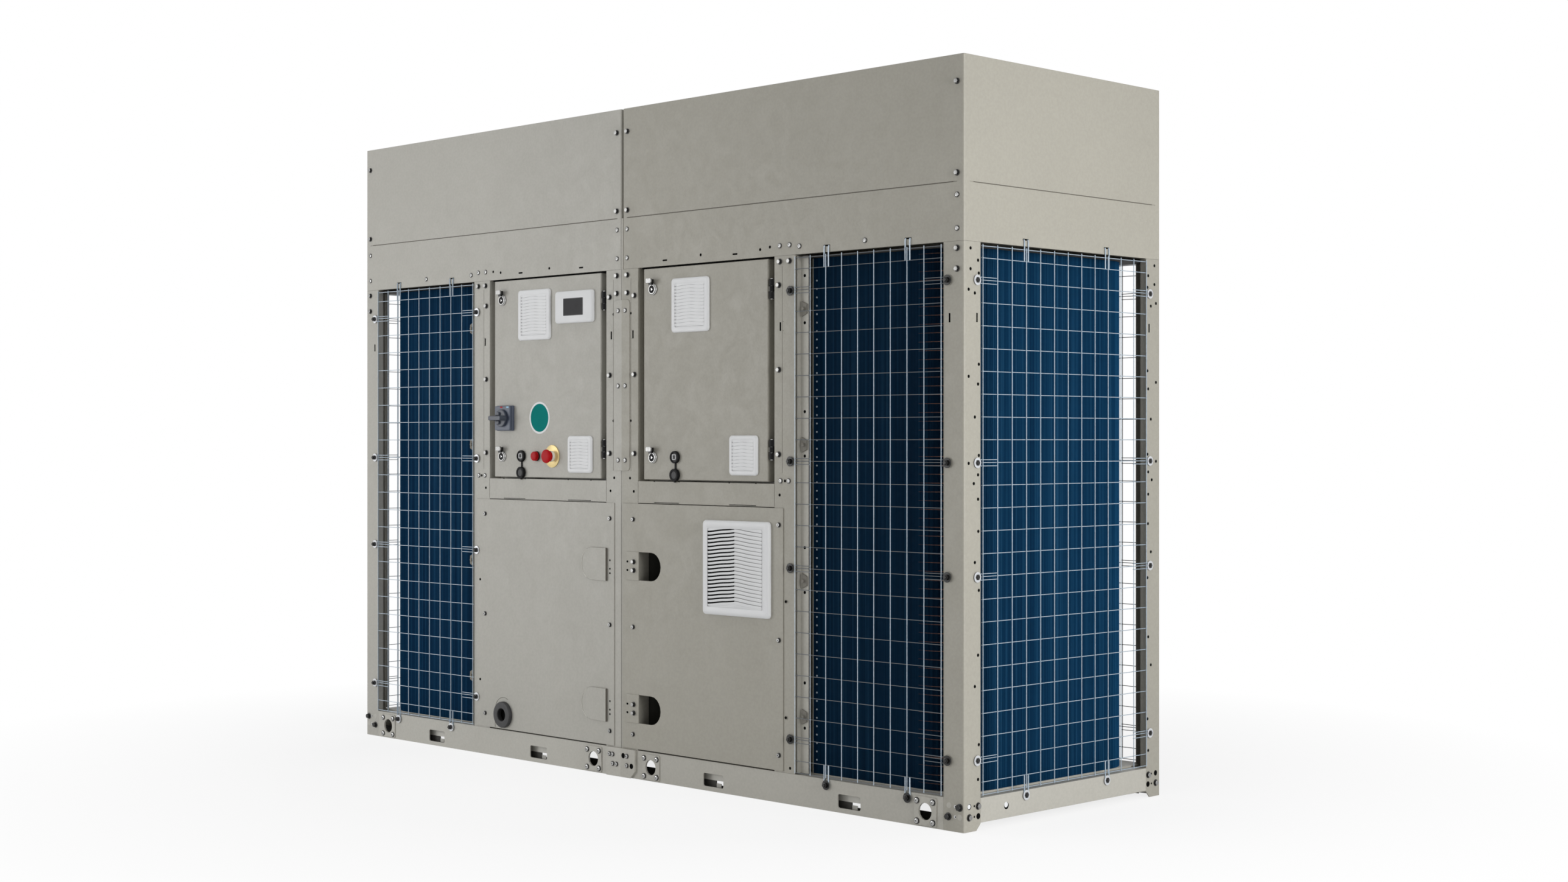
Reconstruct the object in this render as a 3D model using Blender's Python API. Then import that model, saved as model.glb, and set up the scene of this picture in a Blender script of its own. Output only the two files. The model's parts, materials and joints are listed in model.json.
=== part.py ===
"""Air-cooled water chiller: two modules with doors, U-shaped coils, wire guards, hoods and fans.

Metres, +Z up. The front with the doors faces -Y. The origin is the bottom centre of the whole box.
"""
import math

import bmesh
import bpy
from mathutils import Matrix, Vector

# Overall sizes: the height is the frame's and the hood's together
FRAME_HEIGHT = 1.427
HOOD_HEIGHT = 0.451
MODULE_WIDTH = 1.2525
DEPTH = 0.805
SEAM = 0.008
SHEET = 0.002
GAP = 0.0003
BEND_RADIUS = 0.004

# Levels of the front
BASE_HEIGHT = 0.080
LOWER_PANEL_TOP = 0.769
SILL_HEIGHT = 0.063

# Posts
CORNER_FACE = 0.065
CORNER_SIDE = 0.062
CORNER_RETURN = 0.018
POST_WALL = 0.003
FOOT_CHAMFER = 0.016
MIDDLE_FACE = 0.075
CENTRE_FACE = 0.064
DOOR_OPENING = 0.541
DOOR_SIDE_RETURN = 0.040
COIL_SIDE_RETURN = 0.020

# Base
RAIL_WALL = 0.003
RAIL_FLANGE = 0.050
END_RAIL_LIFT = 0.018
END_RAIL_HEIGHT = 0.060
SLOT_LENGTH = 0.079
SLOT_HEIGHT = 0.035
SLOT_CENTRE_Z = 0.0295
SLOT_CORNER = 0.005
SLOT_OFFSETS = (0.375, 0.877)
ROUND_HOLE_RADIUS = 0.0215
ROUND_HOLE_Z = 0.038
ROUND_HOLE_OFFSETS = (0.123, 1.134)
PAN_INSET = 0.0405
PAN_LIP_SETBACK = 0.010
CUTTER_REACH = 0.010

# Coil
COIL_SETBACK = 0.042
COIL_THICKNESS = 0.066
COIL_OUTER_BEND = 0.120
COIL_BEND_STEPS = 8
FIN_PITCH = 0.024
FIN_WIDTH = 0.003
FIN_DEPTH = 0.010
COIL_END_GAP = 0.0237
COIL_TOP_CLEARANCE = 0.009

# Wire guards
WIRE_PITCH = 0.0556
WIRE_WIDTH = 0.004
GUARD_THICKNESS = 0.006
GUARD_EDGE = 0.004
GUARD_BOTTOM_RISE = 0.005
GUARD_FIRST_RISE = 0.0915
GUARD_LAST_DROP = 0.0925
GUARD_TOP_DROP = 0.009
WIRES_PER_BAR = 3
CLIP_REACH = 0.012
CLIP_HEIGHT = 0.012
CLIP_SHARES = (0, 8 / 21, 13 / 21, 1)

# Doors
DOOR_SIDE_GAP = 0.025
DOOR_END_GAP = 0.005
DOOR_THICKNESS = 0.036
DOOR_WALL = 0.002
DOOR_EDGE_RADIUS = 0.002
HINGE_SETBACK = 0.0055
HINGE_OFFSET = 0.0115
HINGE_RADIUS = 0.005
HINGE_PIN_RADIUS = 0.0025
HINGE_HEIGHT = 0.048
HINGE_RISE = 0.089
HINGE_DROP = 0.084
HINGE_CLEARANCE = 0.0004
HINGE_ARM_MARGIN = 0.001

# Electrical box
BOX_DEPTH = 0.250
BOX_LIP = 0.028
SILL_OVERLAP = 0.020

# Fittings on the doors: offsets from the door's centre, a rise above the sill or a drop below the hood
FILTER_WIDTH = 0.1485
FILTER_DEPTH = 0.007
FILTER_BORDER = 0.017
FILTER_OFFSET = -0.052
FILTER_DROP = 0.112
FILTER_CORNER = 0.008
LOUVRE_PITCH = 0.0155
LOUVRE_OPENING = 0.006
SMALL_FILTER_WIDTH = 0.1065
SMALL_FILTER_BORDER = 0.012
SMALL_FILTER_OFFSET = 0.157
SMALL_FILTER_RISE = 0.0735
LARGE_FILTER_WIDTH = 0.254
LARGE_FILTER_DEPTH = 0.012
LARGE_FILTER_BORDER = 0.026
LARGE_FILTER_INSET = 0.171
LARGE_FILTER_Z = 0.6045
DISPLAY_WIDTH = 0.168
DISPLAY_HEIGHT = 0.093
DISPLAY_DEPTH = 0.010
DISPLAY_CORNER = 0.008
DISPLAY_OFFSET = 0.1345
DISPLAY_DROP = 0.0965
SCREEN_WIDTH = 0.084
SCREEN_HEIGHT = 0.046
SCREEN_RECESS = 0.0012
SWITCH_WIDTH = 0.075
SWITCH_CORNER = 0.003
SWITCH_PLATE_DEPTH = 0.0165
SWITCH_OFFSET = -0.188
SWITCH_RISE = 0.180
SWITCH_REACH = 0.048
DIAL_RADIUS = 0.026
DIAL_DEPTH = 0.008
GRIP_LENGTH = 0.056
GRIP_WIDTH = 0.016
CONTROL_RISE = 0.0675
STOP_OFFSET = 0.0285
STOP_PLATE_RADIUS = 0.033
STOP_PLATE_DEPTH = 0.0025
STOP_COLLAR_RADIUS = 0.0145
STOP_COLLAR_WALL = 0.003
STOP_COLLAR_DEPTH = 0.009
STOP_HEAD_RADIUS = 0.020
STOP_REACH = 0.029
STOP_STEM_LENGTH = 0.006
STOP_STEM_CLEARANCE = 0.0007
STOP_TRAVEL = 0.004
STOP_CLEARANCE = 0.002
LAMP_OFFSET = -0.044
LAMP_RADIUS = 0.0145
LAMP_DEPTH = 0.015
LAMP_RING_DEPTH = 0.004
SOCKET_OFFSET = -0.1135
SOCKET_RADIUS = 0.017
SOCKET_DEPTH = 0.0085
SOCKET_RECESS = 0.003
CAP_STRAP_WIDTH = 0.005
CAP_STRAP_DEPTH = 0.002
CAP_DROP = 0.049
CAP_DEPTH = 0.010
LATCH_OFFSET = -0.2065
LATCH_RISE = 0.066
LATCH_DROP = 0.063
LATCH_RADIUS = 0.016
LATCH_BASE_DEPTH = 0.003
LATCH_BARREL_RADIUS = 0.0135
LATCH_BARREL_REACH = 0.0065
LATCH_REACH = 0.019
LATCH_WING_LOW = 0.018
LATCH_WING_HIGH = 0.030
LATCH_WING_WIDTH = 0.022
LATCH_WING_DEPTH = 0.007
LATCH_NECK_WIDTH = 0.010

# Lower panels
LEFT_PANEL_FROM_SEAM = 0.032
LEFT_PANEL_OVERLAP = 0.060
RIGHT_PANEL_FROM_SEAM = 0.006
RIGHT_PANEL_OVERLAP = 0.034
PANEL_RETURN = 0.015
PANEL_FOLD_MARGIN = 0.002
REAR_PANEL_MARGIN = 0.0015
PIPE_HOLE_WIDTH = 0.091
PIPE_HOLE_HEIGHT = 0.079
PIPE_HOLE_X = 0.074
PIPE_HOLE_LEVELS = (0.196, 0.5945)
FILTER_CUTOUT_MARGIN = 0.0135
GROMMET_INSET = 0.133
GROMMET_Z = 0.127
GROMMET_RADIUS = 0.039
GROMMET_BORE = 0.019
GROMMET_REACH = 0.012
GROMMET_NECK = 0.031
GROMMET_TAIL = 0.006

# Seam parts
STRAP_WIDTH = 0.067
STRAP_RISE = 0.028
STRAP_DROP = 0.086
STRAP_CORNER = 0.010
JOINT_PLATE_WIDTH = 0.122
JOINT_PLATE_DEPTH = 0.006
JOINT_PLATE_CHAMFER = 0.020

# Hood, fan deck with its bell mouth, fan and its guard
SLIT_RISE = 0.144
SLIT_HEIGHT = 0.002
SLIT_DEPTH = 0.001
SLIT_END = 0.022
HOOD_WALL = 0.003
HOOD_LIP = 0.020
DECK_DROP = 0.016
DECK_FLANGE = 0.025
FAN_MARGIN = 0.0575
TIP_CLEARANCE = 0.008
BELL_DEPTH = 0.140
BELL_FLARE = 0.022
BELL_WALL = 0.002
BELL_RISE = 0.004
BELL_SEGMENTS = 32
HUB_RADIUS = 0.105
HUB_HEIGHT = 0.090
BLADES = 5
BLADE_THICKNESS = 0.004
BLADE_CAMBER = 0.010
BLADE_ROOT_BITE = 0.008
BLADE_ROOT_RISE = 0.083
BLADE_TIP_RISE = 0.049
BLADE_ROOT_SPAN = 50
BLADE_TIP_SPAN = 44
BLADE_SWEEP = 16
MOTOR_RADIUS = 0.085
MOTOR_HEIGHT = 0.050
FAN_GUARD_RIM = 0.020
FAN_GUARD_THICKNESS = 0.006
GUARD_ARMS = 8
GUARD_BANDS = 3
GUARD_RING_WIDTH = 0.006
MOTOR_PLATE_RADIUS = 0.100

# Worked out from the sizes above
HEIGHT = FRAME_HEIGHT + HOOD_HEIGHT
HALF_WIDTH = MODULE_WIDTH + SEAM / 2
GUARD_PROUD = GAP + GUARD_THICKNESS
FRONT = -DEPTH / 2 + (SWITCH_REACH - GUARD_PROUD) / 2
REAR = FRONT + DEPTH
HOOD_BOTTOM = FRAME_HEIGHT
SILL_TOP = LOWER_PANEL_TOP + SILL_HEIGHT
INNER_EDGE = SEAM / 2 + CENTRE_FACE
DOOR_CENTRE = INNER_EDGE + DOOR_OPENING / 2
MIDDLE_EDGE = INNER_EDGE + DOOR_OPENING
COIL_EDGE = MIDDLE_EDGE + MIDDLE_FACE
LEFT_PANEL_EDGE = MIDDLE_EDGE + LEFT_PANEL_OVERLAP
RIGHT_PANEL_EDGE = MIDDLE_EDGE + RIGHT_PANEL_OVERLAP
LARGE_FILTER_X = RIGHT_PANEL_EDGE - LARGE_FILTER_INSET
GROMMET_X = GROMMET_INSET - LEFT_PANEL_EDGE
CORNER_EDGE = HALF_WIDTH - CORNER_FACE
PAN_TOP = BASE_HEIGHT + GAP + SHEET
ROOF_TOP = HOOD_BOTTOM - 0.001
ROOF_BOTTOM = ROOF_TOP - SHEET
DECK_TOP = HEIGHT - DECK_DROP
BELL_TOP = DECK_TOP + BELL_RISE
FAN_RADIUS = DEPTH / 2 - FAN_MARGIN
THROAT_RADIUS = FAN_RADIUS + TIP_CLEARANCE
DOOR_WIDTH = DOOR_OPENING - 2 * DOOR_SIDE_GAP
HINGE_LEVELS = (SILL_TOP + HINGE_RISE, HOOD_BOTTOM - HINGE_DROP)
LATCH_LEVELS = (SILL_TOP + LATCH_RISE, HOOD_BOTTOM - LATCH_DROP)
CONTROL_Z = SILL_TOP + CONTROL_RISE
SWITCH_Z = SILL_TOP + SWITCH_RISE
GUARD_FIRST_ROW = BASE_HEIGHT + GUARD_FIRST_RISE
GUARD_LAST_ROW = HOOD_BOTTOM - GUARD_LAST_DROP
CLIP_ROWS = [GUARD_FIRST_ROW + (GUARD_LAST_ROW - GUARD_FIRST_ROW) * share for share in CLIP_SHARES]
FAN_CENTRE_X = SEAM / 2 + MODULE_WIDTH / 2
FAN_CENTRE_Y = (FRONT + REAR) / 2

SIDES = {"left": -1, "right": 1}

MATERIALS = {
    "panel_paint": ((0.46, 0.45, 0.41, 1), 0.55, 0.0),
    "zinc_wire": ((0.62, 0.62, 0.60, 1), 0.35, 0.9),
    "coil_blue": ((0.02, 0.06, 0.16, 1), 0.60, 0.2),
    "white_plastic": ((0.78, 0.78, 0.76, 1), 0.45, 0.0),
    "dark_plastic": ((0.08, 0.09, 0.12, 1), 0.45, 0.0),
    "black_rubber": ((0.02, 0.02, 0.02, 1), 0.70, 0.0),
    "chrome": ((0.75, 0.75, 0.75, 1), 0.15, 1.0),
    "red_plastic": ((0.45, 0.01, 0.02, 1), 0.35, 0.0),
    "yellow_plate": ((0.75, 0.60, 0.20, 1), 0.40, 0.0),
    "cast_grey": ((0.20, 0.20, 0.21, 1), 0.50, 0.3),
}


def clear_scene():
    for thing in list(bpy.data.objects):
        bpy.data.objects.remove(thing, do_unlink=True)


def material(name):
    existing = bpy.data.materials.get(name)
    if existing:
        return existing
    colour, roughness, metallic = MATERIALS[name]
    made = bpy.data.materials.new(name)
    made.use_nodes = True
    shader = made.node_tree.nodes["Principled BSDF"]
    shader.inputs["Base Color"].default_value = colour
    shader.inputs["Roughness"].default_value = roughness
    shader.inputs["Metallic"].default_value = metallic
    return made


def place(name, bm, slot):
    """Make a named object from a bmesh, with outward faces."""
    bmesh.ops.recalc_face_normals(bm, faces=bm.faces)
    mesh = bpy.data.meshes.new(name)
    bm.to_mesh(mesh)
    bm.free()
    mesh.materials.append(material(slot))
    thing = bpy.data.objects.new(name, mesh)
    bpy.context.scene.collection.objects.link(thing)
    return thing


def smooth(thing, degrees=35):
    thing.data.shade_smooth()
    thing.data.set_sharp_from_angle(angle=math.radians(degrees))
    return thing


def combine(base, tools, operation):
    """Join or cut solids and keep the result as the base object's mesh."""
    for tool in tools:
        tool.hide_render = True
        tool.display_type = "WIRE"
        change = base.modifiers.new(operation.lower(), "BOOLEAN")
        change.operation = operation
        change.solver = "EXACT"
        change.object = tool
    graph = bpy.context.evaluated_depsgraph_get()
    result = bpy.data.meshes.new_from_object(base.evaluated_get(graph))
    base.modifiers.clear()
    base.data = result
    for tool in tools:
        bpy.data.objects.remove(tool, do_unlink=True)
    return base


def fuse(base, *tools):
    return combine(base, tools, "UNION")


def cut(base, *tools):
    return combine(base, tools, "DIFFERENCE")


def axis_point(axis, u, v, w):
    if axis == "X":
        return Vector((w, u, v))
    if axis == "Y":
        return Vector((u, w, v))
    return Vector((u, v, w))


def prism(name, outline, low, high, axis="Z", slot="panel_paint", holes=()):
    """Extrude a flat outline with holes along an axis: (x, y) on Z, (x, z) on Y, (y, z) on X."""
    bm = bmesh.new()
    edges = []
    for loop in (outline, *holes):
        verts = [bm.verts.new(axis_point(axis, u, v, low)) for u, v in loop]
        edges += [bm.edges.new((verts[i - 1], verts[i])) for i in range(len(verts))]
    bmesh.ops.triangle_fill(bm, use_beauty=True, edges=edges)
    top = bmesh.ops.extrude_face_region(bm, geom=bm.faces[:])
    moved = [part for part in top["geom"] if isinstance(part, bmesh.types.BMVert)]
    bmesh.ops.translate(bm, verts=moved, vec=axis_point(axis, 0, 0, high - low))
    return place(name, bm, slot)


def box(name, x0, x1, y0, y1, z0, z1, slot="panel_paint"):
    bm = bmesh.new()
    bmesh.ops.create_cube(bm, size=1)
    size = Matrix.Diagonal((abs(x1 - x0), abs(y1 - y0), abs(z1 - z0), 1))
    middle = Matrix.Translation(((x0 + x1) / 2, (y0 + y1) / 2, (z0 + z1) / 2))
    bmesh.ops.transform(bm, matrix=middle @ size, verts=bm.verts)
    return place(name, bm, slot)


def rectangle(u0, u1, v0, v1):
    return [(u0, v0), (u1, v0), (u1, v1), (u0, v1)]


def circle(u, v, radius, segments=16):
    turn = 2 * math.pi / segments
    return [(u + radius * math.cos(turn * i), v + radius * math.sin(turn * i)) for i in range(segments)]


def bend(u, v, radius, start, steps=2):
    """Arc of a quarter turn about (u, v) from a start angle in degrees."""
    angles = [math.radians(start + 90 * step / steps) for step in range(steps + 1)]
    return [(u + radius * math.cos(angle), v + radius * math.sin(angle)) for angle in angles]


def rounded(u0, u1, v0, v1, radius, steps=4):
    """Rectangle with round corners, each an arc of some steps."""
    points = []
    corners = ((u1 - radius, v1 - radius), (u0 + radius, v1 - radius),
               (u0 + radius, v0 + radius), (u1 - radius, v0 + radius))
    for quarter, (u, v) in enumerate(corners):
        for step in range(steps + 1):
            angle = math.pi / 2 * (quarter + step / steps)
            points.append((u + radius * math.cos(angle), v + radius * math.sin(angle)))
    return points


def disc(name, x, z, radius, y0, y1, slot, segments=24):
    """Round piece whose axis runs along Y."""
    return smooth(prism(name, circle(x, z, radius, segments), y0, y1, "Y", slot))


def turned(name, profile, centre, slot, segments=BELL_SEGMENTS):
    """Closed ring turned about a vertical axis from a profile of (radius, height)."""
    bm = bmesh.new()
    rings = []
    for i in range(segments):
        angle = 2 * math.pi * i / segments
        rings.append([bm.verts.new((centre[0] + r * math.cos(angle), centre[1] + r * math.sin(angle), z))
                      for r, z in profile])
    for i in range(segments):
        near, far = rings[i - 1], rings[i]
        for j in range(len(profile)):
            bm.faces.new((near[j - 1], near[j], far[j], far[j - 1]))
    return smooth(place(name, bm, slot))


def spread(side, near, far):
    """Lowest and highest x of a stretch between two distances from the seam's middle."""
    return sorted((side * near, side * far))


def channel(a, b, face, inward, return_a, return_b, wall):
    """Plan outline of a channel from x = a to b whose returns run inward from its face."""
    return [(a, face), (b, face), (b, face + inward * return_b),
            (b - wall, face + inward * return_b), (b - wall, face + inward * wall),
            (a + wall, face + inward * wall), (a + wall, face + inward * return_a),
            (a, face + inward * return_a)]


def rail_profile(face, inward, low, high, flange):
    """Section of a base rail, open towards the inside, as (distance, height)."""
    inner = face + inward * flange
    wall = face + inward * RAIL_WALL
    return [(face, low), (inner, low), (inner, low + RAIL_WALL), (wall, low + RAIL_WALL),
            (wall, high - RAIL_WALL), (inner, high - RAIL_WALL), (inner, high), (face, high)]


def base_rail(name, face, inward):
    """Front or rear base rail of both modules, joined by the plate across the seam."""
    halves = []
    for key, side in SIDES.items():
        x0, x1 = spread(side, SEAM / 2, CORNER_EDGE - GAP)
        profile = rail_profile(face, inward, 0, BASE_HEIGHT, RAIL_FLANGE)
        halves.append(prism(name + "_" + key, profile, x0, x1, "X"))
    bite = face + inward * RAIL_WALL / 2
    edge = JOINT_PLATE_WIDTH / 2
    corner = edge - JOINT_PLATE_CHAMFER
    outline = [(-edge, 0), (corner, 0), (edge, JOINT_PLATE_CHAMFER), (edge, BASE_HEIGHT), (-edge, BASE_HEIGHT)]
    plate = prism("joint_plate", outline, *sorted((bite, face - inward * JOINT_PLATE_DEPTH)), "Y")
    cutters = []
    for side in SIDES.values():
        for offset in SLOT_OFFSETS:
            x = side * offset
            outline = rounded(x - SLOT_LENGTH / 2, x + SLOT_LENGTH / 2, SLOT_CENTRE_Z - SLOT_HEIGHT / 2,
                              SLOT_CENTRE_Z + SLOT_HEIGHT / 2, SLOT_CORNER, 2)
            cutters.append(prism("slot", outline, face - CUTTER_REACH, face + CUTTER_REACH, "Y"))
        for offset in ROUND_HOLE_OFFSETS:
            hole = circle(side * offset, ROUND_HOLE_Z, ROUND_HOLE_RADIUS, 14)
            cutters.append(prism("hole", hole, face - CUTTER_REACH, face + CUTTER_REACH, "Y"))
    rail = fuse(halves[0], halves[1], plate)
    rail.name = name
    return cut(rail, *cutters)


def end_rail(key, side):
    """End rail with the module's drain pan, which its lip joins to the rail's top flange."""
    low, high = END_RAIL_LIFT, END_RAIL_LIFT + END_RAIL_HEIGHT
    profile = rail_profile(side * HALF_WIDTH, -side, low, high, RAIL_FLANGE)
    y0, y1 = FRONT + CORNER_SIDE + GAP, REAR - CORNER_SIDE - GAP
    rail = prism("end_rail_" + key, profile, y0, y1, "Y")
    x0, x1 = spread(side, SEAM / 2, HALF_WIDTH - PAN_INSET)
    pan = box("pan", x0, x1, FRONT + PAN_INSET, REAR - PAN_INSET, PAN_TOP - SHEET, PAN_TOP)
    lip = box("lip", *spread(side, HALF_WIDTH - PAN_INSET - SHEET, HALF_WIDTH - PAN_INSET - GAP),
              y0 + PAN_LIP_SETBACK, y1 - PAN_LIP_SETBACK, high - RAIL_WALL / 2, PAN_TOP - SHEET / 2)
    return fuse(rail, pan, lip)


def corner_post(name, side, face, inward):
    """Corner post: an L section with a round bend and a short return on each leg."""
    outline = bend(BEND_RADIUS, BEND_RADIUS, BEND_RADIUS, 180)
    outline += [(CORNER_FACE, 0), (CORNER_FACE, CORNER_RETURN),
               (CORNER_FACE - POST_WALL, CORNER_RETURN), (CORNER_FACE - POST_WALL, POST_WALL),
               (POST_WALL, POST_WALL), (POST_WALL, CORNER_SIDE - POST_WALL),
               (CORNER_RETURN, CORNER_SIDE - POST_WALL), (CORNER_RETURN, CORNER_SIDE), (0, CORNER_SIDE)]
    placed = [(side * (HALF_WIDTH - u), face + inward * v) for u, v in outline]
    post = prism(name, placed, 0, HOOD_BOTTOM - GAP)
    heel = face + inward * CORNER_SIDE
    toe = heel - inward * FOOT_CHAMFER
    reach = heel + inward * CUTTER_REACH
    x0, x1 = spread(side, HALF_WIDTH - CORNER_RETURN - CUTTER_REACH, HALF_WIDTH + CUTTER_REACH)
    chamfer = prism("chamfer", [(toe, -CUTTER_REACH), (toe, 0), (heel, FOOT_CHAMFER), (reach, FOOT_CHAMFER),
                                (reach, -CUTTER_REACH)], x0, x1, "X")
    return cut(post, chamfer)


def middle_post(name, side, face, inward):
    """Post between the door opening and the coil opening."""
    a, b = spread(side, MIDDLE_EDGE, COIL_EDGE)
    returns = (DOOR_SIDE_RETURN, COIL_SIDE_RETURN)[::side]
    outline = channel(a, b, face, inward, *returns, POST_WALL)
    return prism(name, outline, BASE_HEIGHT + GAP, HOOD_BOTTOM - GAP)


def hinge_axis(side):
    """Vertical pin axis of a door: in the gap on the door's right."""
    leaf_edge = side * DOOR_CENTRE + DOOR_WIDTH / 2
    return leaf_edge + HINGE_OFFSET, FRONT + HINGE_SETBACK


def fixed_hinges(side):
    """Outer knuckles with their pin, carried by the post on the right of a door."""
    x, y = hinge_axis(side)
    reach = DOOR_SIDE_GAP - HINGE_OFFSET + POST_WALL / 2
    parts = []
    knuckle = HINGE_HEIGHT / 3
    for level in HINGE_LEVELS:
        bottom, top = level - HINGE_HEIGHT / 2, level + HINGE_HEIGHT / 2
        for z0, z1 in ((bottom, bottom + knuckle), (top - knuckle, top)):
            parts.append(prism("barrel", circle(x, y, HINGE_RADIUS, 10), z0, z1))
            parts.append(box("arm", x, x + reach, y - HINGE_RADIUS / 2, y + HINGE_RADIUS / 2,
                             z0 + HINGE_ARM_MARGIN, z1 - HINGE_ARM_MARGIN))
        parts.append(prism("pin", circle(x, y, HINGE_PIN_RADIUS, 8), bottom + HINGE_ARM_MARGIN,
                           top - HINGE_ARM_MARGIN))
    return parts


def centre_post(name, face, inward, strap_proud):
    """Inner posts of both modules at the seam, joined by the cover strap."""
    parts = []
    for side in SIDES.values():
        a, b = spread(side, SEAM / 2, INNER_EDGE)
        returns = (COIL_SIDE_RETURN, DOOR_SIDE_RETURN)[::side]
        outline = channel(a, b, face, inward, *returns, POST_WALL)
        parts.append(prism(name, outline, BASE_HEIGHT + GAP, HOOD_BOTTOM - GAP))
    outline = rounded(-STRAP_WIDTH / 2, STRAP_WIDTH / 2, SILL_TOP + STRAP_RISE, HOOD_BOTTOM - STRAP_DROP,
                      STRAP_CORNER, 2)
    depths = sorted((face + inward * POST_WALL / 2, face - inward * strap_proud))
    parts.append(prism("strap", outline, *depths, "Y"))
    return parts


def lower_panel(key, side):
    """Front panel of the machine space, with its top and bottom folds between the posts."""
    if side > 0:
        x0, x1 = RIGHT_PANEL_FROM_SEAM, RIGHT_PANEL_EDGE
    else:
        x0, x1 = -LEFT_PANEL_EDGE, -LEFT_PANEL_FROM_SEAM
    z0, z1 = BASE_HEIGHT + 2 * SHEET, LOWER_PANEL_TOP
    holes = []
    if side > 0:
        for level in PIPE_HOLE_LEVELS:
            holes.append(pipe_hole(PIPE_HOLE_X, level))
        half = LARGE_FILTER_WIDTH / 2 - FILTER_CUTOUT_MARGIN
        holes.append(rectangle(LARGE_FILTER_X - half, LARGE_FILTER_X + half,
                               LARGE_FILTER_Z - half, LARGE_FILTER_Z + half))
    else:
        holes.append(circle(GROMMET_X, GROMMET_Z, GROMMET_NECK + GAP, 20))
    skin = prism("lower_panel_" + key, rectangle(x0, x1, z0, z1), FRONT - GAP - SHEET, FRONT - GAP, "Y",
                 holes=holes)
    folds = []
    a, b = spread(side, INNER_EDGE + PANEL_FOLD_MARGIN, MIDDLE_EDGE - PANEL_FOLD_MARGIN)
    for z in (z0, z1 - SHEET):
        folds.append(box("fold", a, b, FRONT - GAP - SHEET / 2, FRONT + PANEL_RETURN, z, z + SHEET))
    return fuse(skin, *folds)


def pipe_hole(x, z):
    """D-shaped outline: flat on the left, half round on the right."""
    radius = PIPE_HOLE_HEIGHT / 2
    middle = x + PIPE_HOLE_WIDTH - radius
    arc = [(middle + radius * math.cos(a), z + radius * math.sin(a))
           for a in (math.radians(-90 + 18 * i) for i in range(11))]
    return [(x, z - radius)] + arc + [(x, z + radius)]


def electrical_box(key, side):
    """Open-fronted steel box behind a door, with the sill below the door."""
    x0, x1 = spread(side, INNER_EDGE + GAP, MIDDLE_EDGE - GAP)
    y0 = FRONT + DOOR_THICKNESS + DOOR_END_GAP
    y1 = y0 + BOX_DEPTH
    z0, z1 = SILL_TOP, ROOF_BOTTOM - GAP
    body = box("electrical_box_" + key, x0, x1, y0, y1, z0, z1)
    inside = box("inside", x0 + SHEET, x1 - SHEET, y0 + SHEET, y1 - SHEET, z0 + SHEET, z1 - SHEET)
    mouth = box("mouth", x0 + BOX_LIP, x1 - BOX_LIP, y0 - CUTTER_REACH, y0 + 2 * SHEET,
                z0 + BOX_LIP, z1 - BOX_LIP)
    body = cut(body, inside, mouth)
    low = LOWER_PANEL_TOP + SHEET
    back = y0 + SILL_OVERLAP
    sill = prism("sill", [(FRONT, low), (back, low), (back, low + SHEET), (FRONT + SHEET, low + SHEET),
                          (FRONT + SHEET, SILL_TOP - SHEET), (back, SILL_TOP - SHEET),
                          (back, SILL_TOP + SHEET / 2), (y0 + SHEET / 2, SILL_TOP + SHEET / 2),
                          (y0 + SHEET / 2, SILL_TOP), (FRONT, SILL_TOP)], x0, x1, "X")
    return fuse(body, sill)


def door(key, side):
    """Door leaf: a folded tray with the moving knuckles of its two hinges."""
    centre = side * DOOR_CENTRE
    x0, x1 = centre - DOOR_WIDTH / 2, centre + DOOR_WIDTH / 2
    z0, z1 = SILL_TOP + DOOR_END_GAP, HOOD_BOTTOM - DOOR_END_GAP
    y0, y1 = FRONT, FRONT + DOOR_THICKNESS
    bm = bmesh.new()
    bmesh.ops.create_cube(bm, size=1)
    size = Matrix.Diagonal((x1 - x0, y1 - y0, z1 - z0, 1))
    middle = Matrix.Translation(((x0 + x1) / 2, (y0 + y1) / 2, (z0 + z1) / 2))
    bmesh.ops.transform(bm, matrix=middle @ size, verts=bm.verts)
    rim = [edge for edge in bm.edges if all(vert.co.y < y0 + SHEET for vert in edge.verts)]
    bmesh.ops.bevel(bm, geom=rim, offset=DOOR_EDGE_RADIUS, segments=2, profile=0.5, affect="EDGES")
    leaf = place("door_" + key, bm, "panel_paint")
    pocket = box("pocket", x0 + DOOR_WALL, x1 - DOOR_WALL, y0 + DOOR_WALL, y1 + CUTTER_REACH,
                 z0 + DOOR_WALL, z1 - DOOR_WALL)
    leaf = cut(leaf, pocket)
    x, y = hinge_axis(side)
    knuckle = HINGE_HEIGHT / 3
    bores = []
    parts = []
    for level in HINGE_LEVELS:
        z0 = level - knuckle / 2 + HINGE_CLEARANCE
        z1 = level + knuckle / 2 - HINGE_CLEARANCE
        parts.append(prism("barrel", circle(x, y, HINGE_RADIUS, 10), z0, z1))
        parts.append(box("arm", x1 - DOOR_WALL / 2, x, y - HINGE_RADIUS / 2, y + HINGE_RADIUS / 2,
                         z0 + HINGE_ARM_MARGIN, z1 - HINGE_ARM_MARGIN))
        bores.append(prism("bore", circle(x, y, HINGE_PIN_RADIUS + HINGE_CLEARANCE, 10),
                           z0 - CUTTER_REACH, z1 + CUTTER_REACH))
    return cut(fuse(leaf, *parts), *bores)


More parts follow.
